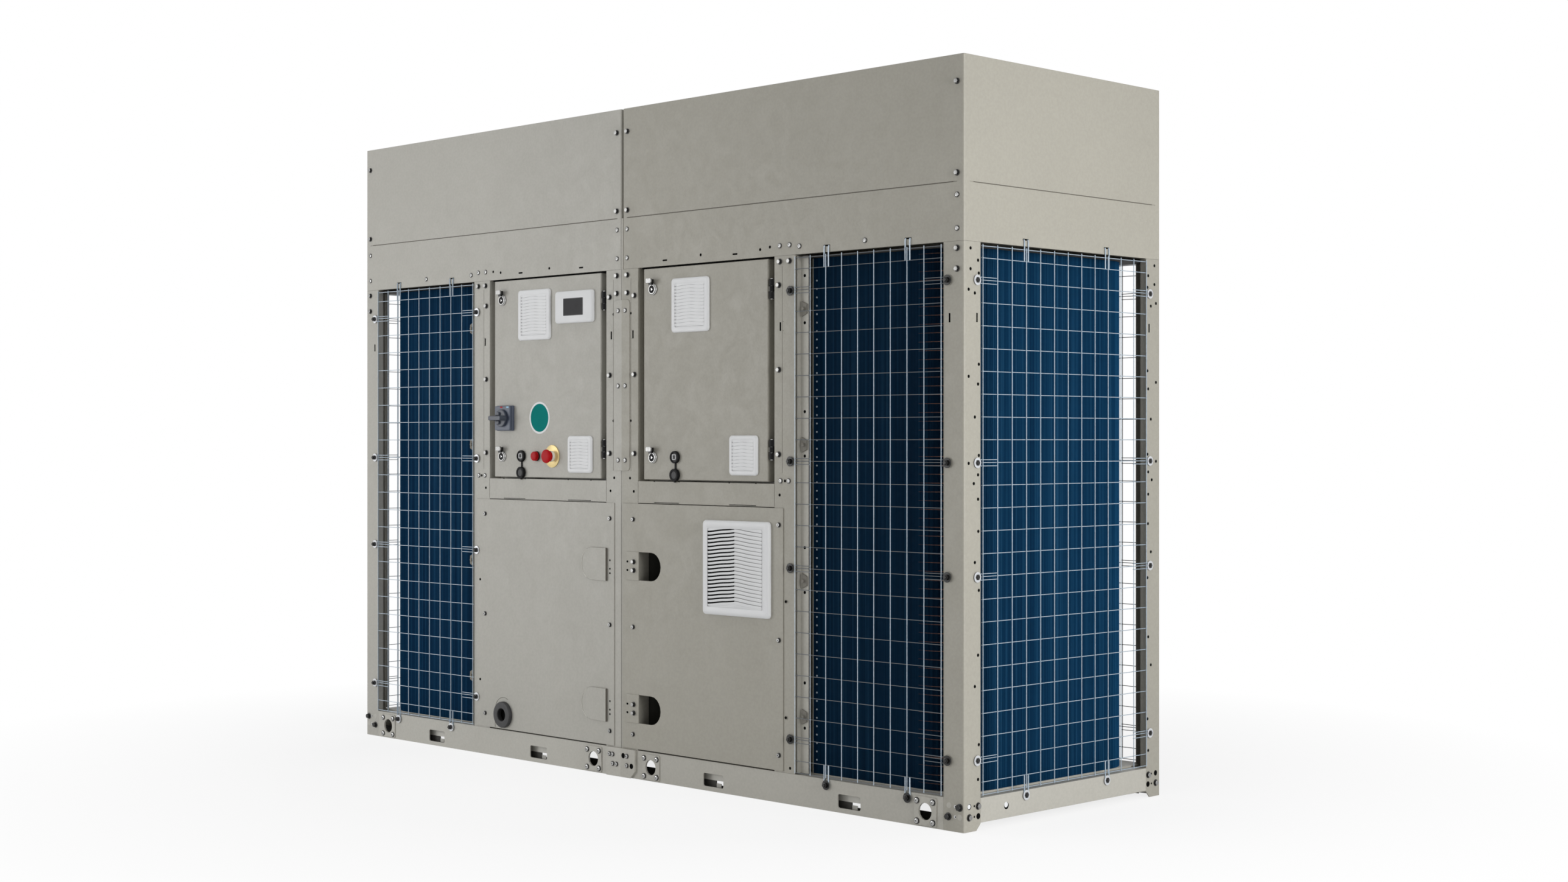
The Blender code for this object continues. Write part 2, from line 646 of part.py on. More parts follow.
def filter_grille(name, x, z, width, depth, border, face):
    """Square louvred cover: a tapered frame round a field of horizontal slats."""
    bm = bmesh.new()
    bmesh.ops.create_cube(bm, size=1)
    size = Matrix.Diagonal((width, depth, width, 1))
    middle = Matrix.Translation((x, face - GAP - depth / 2, z))
    bmesh.ops.transform(bm, matrix=middle @ size, verts=bm.verts)
    upright = [edge for edge in bm.edges if abs(edge.verts[0].co.y - edge.verts[1].co.y) > depth / 2]
    bmesh.ops.bevel(bm, geom=upright, offset=FILTER_CORNER, segments=2, profile=0.5, affect="EDGES")
    front = [edge for edge in bm.edges if all(vert.co.y < face - depth for vert in edge.verts)]
    bmesh.ops.bevel(bm, geom=front, offset=depth * 0.6, segments=1, profile=0.5, affect="EDGES")
    grille = place(name, bm, "white_plastic")
    field = width / 2 - border
    count = round(2 * field / LOUVRE_PITCH)
    pitch = 2 * field / count
    cutter_front = face - GAP - depth - CUTTER_REACH
    cutter_back = face - GAP - depth * 0.4
    slots = []
    for i in range(count):
        middle = z - field + (i + 0.5) * pitch
        slots.append(box("slot", x - field, x + field, cutter_front, cutter_back,
                         middle - LOUVRE_OPENING / 2, middle + LOUVRE_OPENING / 2))
    return cut(grille, *slots)


def display(face):
    x, z = -DOOR_CENTRE + DISPLAY_OFFSET, HOOD_BOTTOM - DISPLAY_DROP
    w, h = DISPLAY_WIDTH / 2, DISPLAY_HEIGHT / 2
    front = face - GAP - DISPLAY_DEPTH
    body = prism("display", rounded(x - w, x + w, z - h, z + h, DISPLAY_CORNER, 3), front,
                 face - GAP, "Y", "white_plastic")
    recess = box("recess", x - SCREEN_WIDTH / 2, x + SCREEN_WIDTH / 2, front - CUTTER_REACH,
                 front + SCREEN_RECESS, z - SCREEN_HEIGHT / 2, z + SCREEN_HEIGHT / 2)
    return cut(body, recess)


def main_switch(face):
    """Rotary main switch: square plate, and a turning dial with a bar grip."""
    x, z = -DOOR_CENTRE + SWITCH_OFFSET, SWITCH_Z
    half = SWITCH_WIDTH / 2
    plate_front = face - GAP - SWITCH_PLATE_DEPTH
    prism("switch_plate", rounded(x - half, x + half, z - half, z + half, SWITCH_CORNER, 2), plate_front,
          face - GAP, "Y", "dark_plastic")
    dial_front = plate_front - GAP - DIAL_DEPTH
    dial = disc("switch_handle", x, z, DIAL_RADIUS, dial_front, plate_front - GAP, "dark_plastic")
    grip = prism("grip", rounded(x - GRIP_LENGTH / 2, x + GRIP_LENGTH / 2, z - GRIP_WIDTH / 2,
                                 z + GRIP_WIDTH / 2, GRIP_WIDTH / 4, 2),
                 face - SWITCH_REACH, dial_front + DIAL_DEPTH / 4, "Y", "dark_plastic")
    return fuse(dial, grip)


def emergency_stop(face):
    """Yellow plate with its collar, and the mushroom button that slides in it."""
    x, z = -DOOR_CENTRE + STOP_OFFSET, CONTROL_Z
    plate_front = face - GAP - STOP_PLATE_DEPTH
    collar_front = plate_front - STOP_COLLAR_DEPTH
    bore_radius = STOP_COLLAR_RADIUS - STOP_COLLAR_WALL
    plate = disc("stop_collar", x, z, STOP_PLATE_RADIUS, plate_front, face - GAP, "yellow_plate", 28)
    collar = disc("collar", x, z, STOP_COLLAR_RADIUS, collar_front, plate_front + STOP_PLATE_DEPTH / 2,
                  "yellow_plate", 20)
    bore = disc("bore", x, z, bore_radius, collar_front - CUTTER_REACH, plate_front, "yellow_plate", 16)
    cut(fuse(plate, collar), bore)
    stem = bore_radius - STOP_STEM_CLEARANCE
    stem_back = collar_front + STOP_STEM_LENGTH - STOP_TRAVEL
    head_back = collar_front - STOP_TRAVEL - STOP_CLEARANCE
    head_front = face - STOP_REACH
    rise = head_back - head_front
    profile = [(0, head_front), (STOP_HEAD_RADIUS * 0.6, head_front + rise * 0.08),
               (STOP_HEAD_RADIUS * 0.9, head_front + rise * 0.3), (STOP_HEAD_RADIUS, head_front + rise * 0.6),
               (STOP_HEAD_RADIUS, head_back - rise * 0.1), (STOP_HEAD_RADIUS * 0.9, head_back),
               (stem, head_back), (stem, stem_back), (0, stem_back)]
    return turned_forward("stop_button", profile, x, z, "red_plastic", 20)


def turned_forward(name, profile, x, z, slot, segments):
    """Solid turned about an axis along Y from a profile of (radius, y) that starts and ends on the axis."""
    bm = bmesh.new()
    start = bm.verts.new((x, profile[0][1], z))
    end = bm.verts.new((x, profile[-1][1], z))
    rings = []
    for i in range(segments):
        angle = 2 * math.pi * i / segments
        rings.append([bm.verts.new((x + r * math.cos(angle), y, z + r * math.sin(angle)))
                      for r, y in profile[1:-1]])
    for i in range(segments):
        near, far = rings[i - 1], rings[i]
        bm.faces.new((start, near[0], far[0]))
        bm.faces.new((end, far[-1], near[-1]))
        for j in range(len(near) - 1):
            bm.faces.new((near[j], near[j + 1], far[j + 1], far[j]))
    return smooth(place(name, bm, slot))


def lamp(face):
    x, z = -DOOR_CENTRE + LAMP_OFFSET, CONTROL_Z
    back = face - GAP
    front, ring = back - LAMP_DEPTH, back - LAMP_RING_DEPTH
    dome = (LAMP_DEPTH - LAMP_RING_DEPTH) * 0.3
    profile = [(0, front), (LAMP_RADIUS * 0.7, front + dome * 0.3), (LAMP_RADIUS * 0.93, front + dome),
               (LAMP_RADIUS * 0.95, ring), (LAMP_RADIUS, ring), (LAMP_RADIUS, back), (0, back)]
    return turned_forward("lamp", profile, x, z, "red_plastic", 20)


def service_socket(key, side, face):
    """Round socket in a door with its rubber cap hanging below on a strap."""
    x, z = side * DOOR_CENTRE + SOCKET_OFFSET, CONTROL_Z
    back = face - GAP
    body = disc("service_socket_" + key, x, z, SOCKET_RADIUS, back - SOCKET_DEPTH, back, "black_rubber", 16)
    front = back - SOCKET_DEPTH
    recess = disc("recess", x, z, SOCKET_RADIUS * 0.7, front - CUTTER_REACH, front + SOCKET_RECESS,
                  "black_rubber", 12)
    half = CAP_STRAP_WIDTH / 2
    strap = box("strap", x - half, x + half, back - CAP_STRAP_DEPTH, back, z - CAP_DROP, z - SOCKET_RADIUS * 0.9)
    cap = disc("cap", x, z - CAP_DROP, SOCKET_RADIUS, back - CAP_DEPTH, back - GAP, "black_rubber", 16)
    return cut(fuse(body, strap, cap), recess)


def latch(name, x, z, face):
    """Quarter-turn latch: round base, lock barrel, and a lever wing on a neck above it."""
    back = face - GAP
    base_front, barrel_front = back - LATCH_BASE_DEPTH, back - LATCH_BARREL_REACH
    base = disc(name, x, z, LATCH_RADIUS, base_front, back, "chrome", 16)
    barrel = disc("barrel", x, z, LATCH_BARREL_RADIUS, barrel_front, back - LATCH_BASE_DEPTH / 2, "chrome", 16)
    half = LATCH_WING_WIDTH / 2
    wing_front = back - LATCH_REACH
    wing = prism("wing", rounded(x - half, x + half, z + LATCH_WING_LOW, z + LATCH_WING_HIGH, half * 0.4, 2),
                 wing_front, wing_front + LATCH_WING_DEPTH, "Y", "chrome")
    neck = box("neck", x - LATCH_NECK_WIDTH / 2, x + LATCH_NECK_WIDTH / 2, wing_front + LATCH_WING_DEPTH / 2,
               barrel_front + LATCH_BASE_DEPTH / 2, z + LATCH_BARREL_RADIUS / 2,
               (z + LATCH_WING_LOW + z + LATCH_WING_HIGH) / 2, "chrome")
    return fuse(base, barrel, neck, wing)


def grommet():
    """Rubber cable grommet: flange in front of the panel, neck through it."""
    x, z = GROMMET_X, GROMMET_Z
    face = FRONT - GAP - SHEET
    body = disc("cable_grommet", x, z, GROMMET_RADIUS, face - GAP - GROMMET_REACH, face - GAP, "black_rubber", 24)
    neck = disc("neck", x, z, GROMMET_NECK - GAP, face - GROMMET_REACH / 2, FRONT + GROMMET_TAIL,
                "black_rubber", 20)
    bore = disc("bore", x, z, GROMMET_BORE, face - GROMMET_REACH - CUTTER_REACH,
                FRONT + GROMMET_TAIL + CUTTER_REACH, "black_rubber", 16)
    return cut(fuse(body, neck), bore)


def rear_panel(key, side):
    """Rear panel of a module's middle, in an upper and a lower field with a groove between."""
    x0, x1 = spread(side, STRAP_WIDTH / 2 + REAR_PANEL_MARGIN, COIL_EDGE - CLIP_REACH - 2 * REAR_PANEL_MARGIN)
    y0 = REAR + GAP
    skin = box("rear_panel_" + key, x0, x1, y0, y0 + SHEET, BASE_HEIGHT + 2 * SHEET, HOOD_BOTTOM - DOOR_END_GAP)
    groove = box("groove", x0 - CUTTER_REACH, x1 + CUTTER_REACH, y0 + SHEET / 2, y0 + CUTTER_REACH,
                 LOWER_PANEL_TOP, LOWER_PANEL_TOP + SHEET)
    a, b = spread(side, INNER_EDGE + PANEL_FOLD_MARGIN, MIDDLE_EDGE - PANEL_FOLD_MARGIN)
    folds = [box("fold", a, b, REAR - PANEL_RETURN, y0 + SHEET / 2, z, z + SHEET)
             for z in (BASE_HEIGHT + 2 * SHEET, HOOD_BOTTOM - DOOR_END_GAP - SHEET)]
    return cut(fuse(skin, *folds), groove)


def partition(key, side):
    """Wall and roof of the machine space, between it and the coil's air space."""
    low = PAN_TOP + GAP
    near, far = COIL_EDGE + GAP, COIL_EDGE + GAP + SHEET
    wall = box("partition_" + key, *spread(side, near, far), FRONT + GAP, REAR - GAP, low, ROOF_TOP)
    roof = box("roof", *spread(side, SEAM / 2 + GAP, near + SHEET / 2),
               FRONT + DOOR_SIDE_RETURN + GAP, REAR - DOOR_SIDE_RETURN - GAP, ROOF_BOTTOM, ROOF_TOP)
    return fuse(wall, roof)


def coil_inside(end, front, rear):
    """Plan points of the coil's inner face round its two bends, from the front leg to the rear leg."""
    points = []
    for y, start in ((front + COIL_OUTER_BEND, -90), (rear - COIL_OUTER_BEND, 0)):
        points += bend(end - COIL_OUTER_BEND, y, COIL_OUTER_BEND - COIL_THICKNESS, start, COIL_BEND_STEPS)
    return points


def coil_outside(leg, end, front, rear):
    """Plan points of the coil's outer face, where every tenth or so of its fins stands proud."""
    radius = COIL_OUTER_BEND
    straight = end - radius - leg
    arc = radius * math.pi / 2
    side_length = rear - front - 2 * radius

    def on_bend(turn, centre_y, depth):
        reach = radius - depth
        return end - radius + reach * math.cos(turn), centre_y + reach * math.sin(turn)

    def at(way, depth):
        if way < straight:
            return leg + way, front + depth
        way -= straight
        if way < arc:
            return on_bend(way / radius - math.pi / 2, front + radius, depth)
        way -= arc
        if way < side_length:
            return end - depth, front + radius + way
        way -= side_length
        if way < arc:
            return on_bend(way / radius, rear - radius, depth)
        return end - radius - (way - arc), rear - depth

    total = 2 * straight + 2 * arc + side_length
    spaces = round((total - FIN_WIDTH) / FIN_PITCH)
    pitch = (total - FIN_WIDTH) / spaces
    points = []
    for i in range(spaces + 1):
        way = pitch * i
        points += [at(way, 0), at(way + FIN_WIDTH, 0)]
        if i < spaces:
            points += [at(way + FIN_WIDTH, FIN_DEPTH), at(way + pitch, FIN_DEPTH)]
    return points


def coil(key, side):
    """U-shaped finned coil round a module's end, closed to the partition behind its two end plates."""
    start = COIL_EDGE + 2 * GAP + SHEET
    leg = start + COIL_END_GAP
    end = HALF_WIDTH - COIL_SETBACK
    front, rear = FRONT + COIL_SETBACK, REAR - COIL_SETBACK
    front_back, rear_back = front + COIL_THICKNESS, rear - COIL_THICKNESS
    points = coil_outside(leg, end, front, rear)
    points += [(leg, rear_back + SHEET), (start, rear_back + SHEET), (start, rear_back)]
    points += coil_inside(end, front, rear)[::-1]
    points += [(start, front_back), (start, front_back - SHEET), (leg, front_back - SHEET)]
    outline = [(side * x, y) for x, y in points]
    top = HOOD_BOTTOM - COIL_TOP_CLEARANCE
    return smooth(prism("coil_" + key, outline, PAN_TOP + GAP, top, "Z", "coil_blue"))


def guard_rows():
    """Heights of the guard's wires that are built as bars: bottom, every third wire, top."""
    spans = round((GUARD_LAST_ROW - GUARD_FIRST_ROW) / (WIRES_PER_BAR * WIRE_PITCH))
    step = (GUARD_LAST_ROW - GUARD_FIRST_ROW) / spans
    rows = [GUARD_FIRST_ROW + step * i for i in range(spans + 1)]
    return [BASE_HEIGHT + GUARD_BOTTOM_RISE] + rows + [HOOD_BOTTOM - GUARD_TOP_DROP]


def guard(name, axis, low, high, face, outward):
    """Wire guard over a coil opening, held by clip plates that reach onto the posts."""
    a, b = low + GUARD_EDGE, high - GUARD_EDGE
    spans = round((b - a) / (WIRES_PER_BAR * WIRE_PITCH))
    half = WIRE_WIDTH / 2
    columns = [a + (b - a) * i / spans for i in range(spans + 1)]
    rows = guard_rows()
    holes = []
    for left, right in zip(columns, columns[1:]):
        for bottom, top in zip(rows, rows[1:]):
            holes.append(rectangle(left + half, right - half, bottom + half, top - half))
    outline = []
    edge_a, edge_b = a - half, b + half
    outline += [(edge_a, rows[0] - half), (edge_b, rows[0] - half)]
    for z in CLIP_ROWS:
        outline += [(edge_b, z - CLIP_HEIGHT / 2), (high + CLIP_REACH, z - CLIP_HEIGHT / 2),
                    (high + CLIP_REACH, z + CLIP_HEIGHT / 2), (edge_b, z + CLIP_HEIGHT / 2)]
    outline += [(edge_b, rows[-1] + half), (edge_a, rows[-1] + half)]
    for z in reversed(CLIP_ROWS):
        outline += [(edge_a, z + CLIP_HEIGHT / 2), (low - CLIP_REACH, z + CLIP_HEIGHT / 2),
                    (low - CLIP_REACH, z - CLIP_HEIGHT / 2), (edge_a, z - CLIP_HEIGHT / 2)]
    depths = sorted((face + outward * GAP, face + outward * GUARD_PROUD))
    return prism(name, outline, *depths, axis, "zinc_wire", holes)


def hood(key, side):
    """Hood of a module: four walls with bent corners, a slit line round them and a bottom lip."""
    x0, x1 = spread(side, SEAM / 2, HALF_WIDTH)
    walls = prism("hood_" + key, rounded(x0, x1, FRONT, REAR, BEND_RADIUS, 2), HOOD_BOTTOM, HEIGHT,
                  holes=[rectangle(x0 + HOOD_WALL, x1 - HOOD_WALL, FRONT + HOOD_WALL, REAR - HOOD_WALL)])
    bite = HOOD_WALL / 2
    inner = rectangle(x0 + HOOD_LIP, x1 - HOOD_LIP, FRONT + HOOD_LIP, REAR - HOOD_LIP)
    reach = rectangle(x0 + bite, x1 - bite, FRONT + bite, REAR - bite)
    lip = prism("lip", reach, HOOD_BOTTOM + GAP, HOOD_BOTTOM + GAP + SHEET, holes=[inner])
    low = HOOD_BOTTOM + SLIT_RISE - SLIT_HEIGHT / 2
    high = low + SLIT_HEIGHT
    slits = [box("slit", x0 + SLIT_END, x1 - SLIT_END, FRONT - CUTTER_REACH, FRONT + SLIT_DEPTH, low, high),
             box("slit", x0 + SLIT_END, x1 - SLIT_END, REAR - SLIT_DEPTH, REAR + CUTTER_REACH, low, high),
             box("slit", *spread(side, HALF_WIDTH - SLIT_DEPTH, HALF_WIDTH + CUTTER_REACH), FRONT + SLIT_END,
                 REAR - SLIT_END, low, high)]
    return cut(fuse(walls, lip), *slits)


def fan_deck(key, side):
    """Deck between the hood's walls, with a rim flange and the fan's flared bell mouth."""
    inset = HOOD_WALL + GAP
    x0, x1 = spread(side, SEAM / 2 + inset, HALF_WIDTH - inset)
    y0, y1 = FRONT + inset, REAR - inset
    x, y = side * FAN_CENTRE_X, FAN_CENTRE_Y
    throat = circle(x, y, THROAT_RADIUS + BELL_WALL / 2, BELL_SEGMENTS)
    deck = prism("fan_deck_" + key, rectangle(x0, x1, y0, y1), DECK_TOP - SHEET, DECK_TOP, holes=[throat])
    inside = rectangle(x0 + SHEET, x1 - SHEET, y0 + SHEET, y1 - SHEET)
    flange = prism("flange", rectangle(x0, x1, y0, y1), DECK_TOP - DECK_FLANGE, DECK_TOP - SHEET / 2,
                   holes=[inside])
    low = DECK_TOP - BELL_DEPTH
    outer = THROAT_RADIUS + BELL_WALL
    flare = outer + BELL_FLARE
    profile = [(THROAT_RADIUS, BELL_TOP), (THROAT_RADIUS, low + BELL_FLARE),
               (THROAT_RADIUS + BELL_FLARE * 0.3, low + BELL_FLARE * 0.3), (flare - BELL_WALL, low),
               (flare, low + BELL_WALL * 0.7), (outer + BELL_FLARE * 0.3, low + BELL_FLARE * 0.3 + BELL_WALL),
               (outer, low + BELL_FLARE + BELL_WALL), (outer, BELL_TOP)]
    bell = turned("bell", profile, (x, y), "panel_paint")
    return fuse(deck, flange, bell)


def blade(name, x, y, z, turn):
    """One sickle blade of the fan as a thin twisted solid."""
    stations, chord = 4, 3
    root = HUB_RADIUS - BLADE_ROOT_BITE
    bm = bmesh.new()
    grids = []
    for offset in (-0.5, 0.5):
        grid = []
        for i in range(stations + 1):
            share = i / stations
            radius = root + (FAN_RADIUS - root) * share
            width = math.radians(BLADE_ROOT_SPAN + (BLADE_TIP_SPAN - BLADE_ROOT_SPAN) * share)
            lead = turn - math.radians(BLADE_SWEEP) * share * share
            rise = BLADE_ROOT_RISE + (BLADE_TIP_RISE - BLADE_ROOT_RISE) * share
            row = []
            for j in range(chord + 1):
                along = j / chord
                angle = lead + width * (along - 0.5)
                camber = BLADE_CAMBER * math.sin(math.pi * along)
                level = z + rise * (along - 0.5) + camber + offset * BLADE_THICKNESS
                row.append(bm.verts.new((x + radius * math.cos(angle), y + radius * math.sin(angle), level)))
            grid.append(row)
        grids.append(grid)
    low, high = grids
    for i in range(stations):
        for j in range(chord):
            for grid in grids:
                bm.faces.new((grid[i][j], grid[i + 1][j], grid[i + 1][j + 1], grid[i][j + 1]))
    for i in range(stations):
        for j in (0, chord):
            bm.faces.new((low[i][j], low[i + 1][j], high[i + 1][j], high[i][j]))
    for j in range(chord):
        for i in (0, stations):
            bm.faces.new((low[i][j], low[i][j + 1], high[i][j + 1], high[i][j]))
    return place(name, bm, "dark_plastic")


def fan(key, side):
    """Axial fan rotor below the guard's motor."""
    x, y = side * FAN_CENTRE_X, FAN_CENTRE_Y
    top = BELL_TOP + GAP - MOTOR_HEIGHT - GAP
    hub = smooth(prism("fan_" + key, circle(x, y, HUB_RADIUS, 24), top - HUB_HEIGHT, top, "Z", "dark_plastic"))
    blades = [blade("blade", x, y, top - HUB_HEIGHT / 2, 2 * math.pi * i / BLADES) for i in range(BLADES)]
    return fuse(hub, *blades)


def fan_guard(key, side):
    """Flat guard over the fan: rings, radial arms and the plate that carries the motor."""
    x, y = side * FAN_CENTRE_X, FAN_CENTRE_Y
    low = BELL_TOP + GAP
    high = low + FAN_GUARD_THICKNESS
    rim = THROAT_RADIUS + FAN_GUARD_RIM
    reach = THROAT_RADIUS - GUARD_RING_WIDTH - MOTOR_PLATE_RADIUS
    rings = [MOTOR_PLATE_RADIUS + reach * i / GUARD_BANDS for i in range(GUARD_BANDS + 1)]
    holes = []
    sector = 2 * math.pi / GUARD_ARMS
    for near, far in zip(rings, rings[1:]):
        inner = near + GUARD_RING_WIDTH / 2
        outer = far - GUARD_RING_WIDTH / 2
        for i in range(GUARD_ARMS):
            holes.append(sector_hole(x, y, inner, outer, sector * i, sector * (i + 1)))
    plate = prism("fan_guard_" + key, circle(x, y, rim, BELL_SEGMENTS), low, high, "Z", "zinc_wire", holes)
    motor = prism("motor", circle(x, y, MOTOR_RADIUS, 24), low - MOTOR_HEIGHT, low + FAN_GUARD_THICKNESS / 2,
                  "Z", "cast_grey")
    return smooth(fuse(plate, motor))


def sector_hole(x, y, inner, outer, start, end):
    """Outline of one opening between two rings and two arms."""
    half = GUARD_RING_WIDTH / 2
    points = []
    steps = 2
    for radius, order in ((inner, range(steps + 1)), (outer, range(steps, -1, -1))):
        trim = half / radius
        for i in order:
            angle = start + trim + (end - start - 2 * trim) * i / steps
            points.append((x + radius * math.cos(angle), y + radius * math.sin(angle)))
    return points


def build():
    clear_scene()
    base_rail("front_base_rail", FRONT, 1)
    base_rail("rear_base_rail", REAR, -1)
    front_posts = centre_post("centre_post_front", FRONT, 1, SHEET)
    middle = {}
    for key, side in SIDES.items():
        end_rail(key, side)
        corner_post("corner_post_front_" + key, side, FRONT, 1)
        corner_post("corner_post_rear_" + key, side, REAR, -1)
        middle[key] = middle_post("middle_post_front_" + key, side, FRONT, 1)
        middle_post("middle_post_rear_" + key, side, REAR, -1)
        lower_panel(key, side)
        electrical_box(key, side)
        door(key, side)
        rear_panel(key, side)
        partition(key, side)
        coil(key, side)
        centre = side * DOOR_CENTRE
        filter_grille("filter_upper_" + key, centre + FILTER_OFFSET, HOOD_BOTTOM - FILTER_DROP, FILTER_WIDTH,
                      FILTER_DEPTH, FILTER_BORDER, FRONT)
        filter_grille("filter_lower_" + key, centre + SMALL_FILTER_OFFSET, SILL_TOP + SMALL_FILTER_RISE,
                      SMALL_FILTER_WIDTH, FILTER_DEPTH, SMALL_FILTER_BORDER, FRONT)
        service_socket(key, side, FRONT)
        for level, z in zip(("lower", "upper"), LATCH_LEVELS):
            latch("latch_" + level + "_" + key, centre + LATCH_OFFSET, z, FRONT)
        x0, x1 = spread(side, COIL_EDGE, CORNER_EDGE)
        guard("guard_front_" + key, "Y", x0, x1, FRONT, -1)
        guard("guard_rear_" + key, "Y", x0, x1, REAR, 1)
        guard("guard_end_" + key, "X", FRONT + CORNER_SIDE, REAR - CORNER_SIDE, side * HALF_WIDTH, side)
        hood(key, side)
        fan_deck(key, side)
        fan(key, side)
        fan_guard(key, side)
    fuse(front_posts[0], *front_posts[1:], *fixed_hinges(-1)).name = "centre_post_front"
    fuse(middle["right"], *fixed_hinges(1))
    rear_posts = centre_post("centre_post_rear", REAR, -1, SHEET)
    fuse(rear_posts[0], *rear_posts[1:]).name = "centre_post_rear"
    filter_grille("filter_panel", LARGE_FILTER_X, LARGE_FILTER_Z, LARGE_FILTER_WIDTH, LARGE_FILTER_DEPTH,
                  LARGE_FILTER_BORDER, FRONT - GAP - SHEET)
    display(FRONT)
    main_switch(FRONT)
    emergency_stop(FRONT)
    lamp(FRONT)
    grommet()


build()
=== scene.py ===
"""Looks of the water chiller: camera, light, materials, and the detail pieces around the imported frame.

Lengths are in millimetres; the mesh helpers turn them into metres. Materials and lights have metres.
"""
import json
import math

import bmesh
import bpy
from mathutils import Matrix, Vector


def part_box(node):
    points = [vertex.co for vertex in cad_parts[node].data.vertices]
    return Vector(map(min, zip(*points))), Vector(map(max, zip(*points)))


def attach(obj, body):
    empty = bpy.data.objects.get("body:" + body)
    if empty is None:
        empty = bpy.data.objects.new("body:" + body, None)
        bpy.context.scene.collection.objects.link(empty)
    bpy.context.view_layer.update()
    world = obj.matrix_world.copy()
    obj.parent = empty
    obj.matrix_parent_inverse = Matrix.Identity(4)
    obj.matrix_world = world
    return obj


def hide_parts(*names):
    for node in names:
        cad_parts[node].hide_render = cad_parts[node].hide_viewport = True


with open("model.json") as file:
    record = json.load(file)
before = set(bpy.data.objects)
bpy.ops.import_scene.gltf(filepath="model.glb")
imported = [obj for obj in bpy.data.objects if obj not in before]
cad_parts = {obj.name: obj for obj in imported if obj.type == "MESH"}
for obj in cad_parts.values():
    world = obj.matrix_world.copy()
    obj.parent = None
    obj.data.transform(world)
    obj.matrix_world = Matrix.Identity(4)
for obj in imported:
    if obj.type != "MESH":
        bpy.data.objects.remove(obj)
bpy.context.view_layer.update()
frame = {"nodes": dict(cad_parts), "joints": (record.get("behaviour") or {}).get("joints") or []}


def box(node):
    """A frame piece's low and high corner."""
    low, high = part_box(node)
    return low * 1000, high * 1000


# The frame's own planes and levels
FRONT, REAR = (corner.y for corner in box("hood_left"))
HOOD_BOTTOM, HEIGHT = (corner.z for corner in box("hood_left"))
HALF_WIDTH = box("hood_right")[1].x
BASE_TOP = box("front_base_rail")[1].z
PANEL_FACE = box("lower_panel_left")[0].y
PARTITION = abs(box("partition_right")[1].x)
SIDES = {"left": -1, "right": 1}
ENDS = (("right", 1), ("left", -1))
EDGES = ((FRONT, 1), (REAR, -1))
LONG_FACES = ("front", "rear")

# Camera of the photograph
CAMERA_X, CAMERA_FROM_FRONT, CAMERA_Z = 4655, 4010.8, 944
LENS, SENSOR = 50, 36

# Wires and their clips
VERTICAL_WIRE, CROSS_WIRE, THICK_WIRE = 1.15, 0.95, 1.8
FRONT_WIRES, END_WIRES = 10, 13
WIRE_MARGIN = 4
WIRE_STEP = 55.4
SECOND_ROW = 1389
CLIP_LEVELS = (170, 614, 891, 1334)
CLIP_LENGTH, CLIP_HALF, CLIP_OVER_POST = 75, 7.5, 14.5
HOOK_FOOT = 65.5
SLIT_LEVEL = 1571

# Fittings stay in the frame's box on the rear and the ends
OUTER_REACH = 6.2
STUD_BASE, STUD_REACH = 3.0, 14.5

# Coil
COIL_DEPTH, COIL_BEND, COIL_SETBACK = 66, 120, 42
FIN_PITCH, FIN_THICKNESS = 2.2, 0.4
TUBE_PITCH, TUBE_RADIUS, TUBE_SETBACK = 21.8, 4.2, 9.5
CORE_SETBACK = 10.5

PIPE_LEVELS = (196, 594.5)


# ---- Node materials ----

def linear(red, green, blue):
    """Linear colour from 0-255 display values."""
    share = [value / 255 for value in (red, green, blue)]
    return [s / 12.92 if s < 0.04 else ((s + 0.055) / 1.055) ** 2.4 for s in share] + [1.0]


def scaled(colour, factor):
    return [min(channel * factor, 1.0) for channel in colour[:3]] + [1.0]


class Nodes:
    """A node tree, with nodes added by their settings and inputs."""

    def __init__(self, tree):
        self.tree = tree

    def put(self, socket, value):
        """Give an input a value or another node's output."""
        if isinstance(value, bpy.types.NodeSocket):
            self.tree.links.new(value, socket)
        else:
            socket.default_value = value

    def add(self, kind, *feeds, **values):
        """Node with its first inputs fed in order, then settings and inputs by name."""
        node = self.tree.nodes.new(kind)
        named = {key.replace("_", " "): key for key in values}
        for name, key in named.items():
            if name not in node.inputs:
                setattr(node, key, values[key])
        for name, key in named.items():
            if name in node.inputs:
                self.put(node.inputs[name], values[key])
        for socket, value in zip(node.inputs, feeds):
            self.put(socket, value)
        return node

    def background_rays(self):
        """1 for rays from the camera, off metal and through glass, which show the plain background."""
        rays = self.add("ShaderNodeLightPath").outputs
        seen = rays["Is Camera Ray"]
        for kind in ("Is Glossy Ray", "Is Transmission Ray"):
            seen = self.add("ShaderNodeMath", seen, rays[kind], operation="MAXIMUM").outputs[0]
        return seen


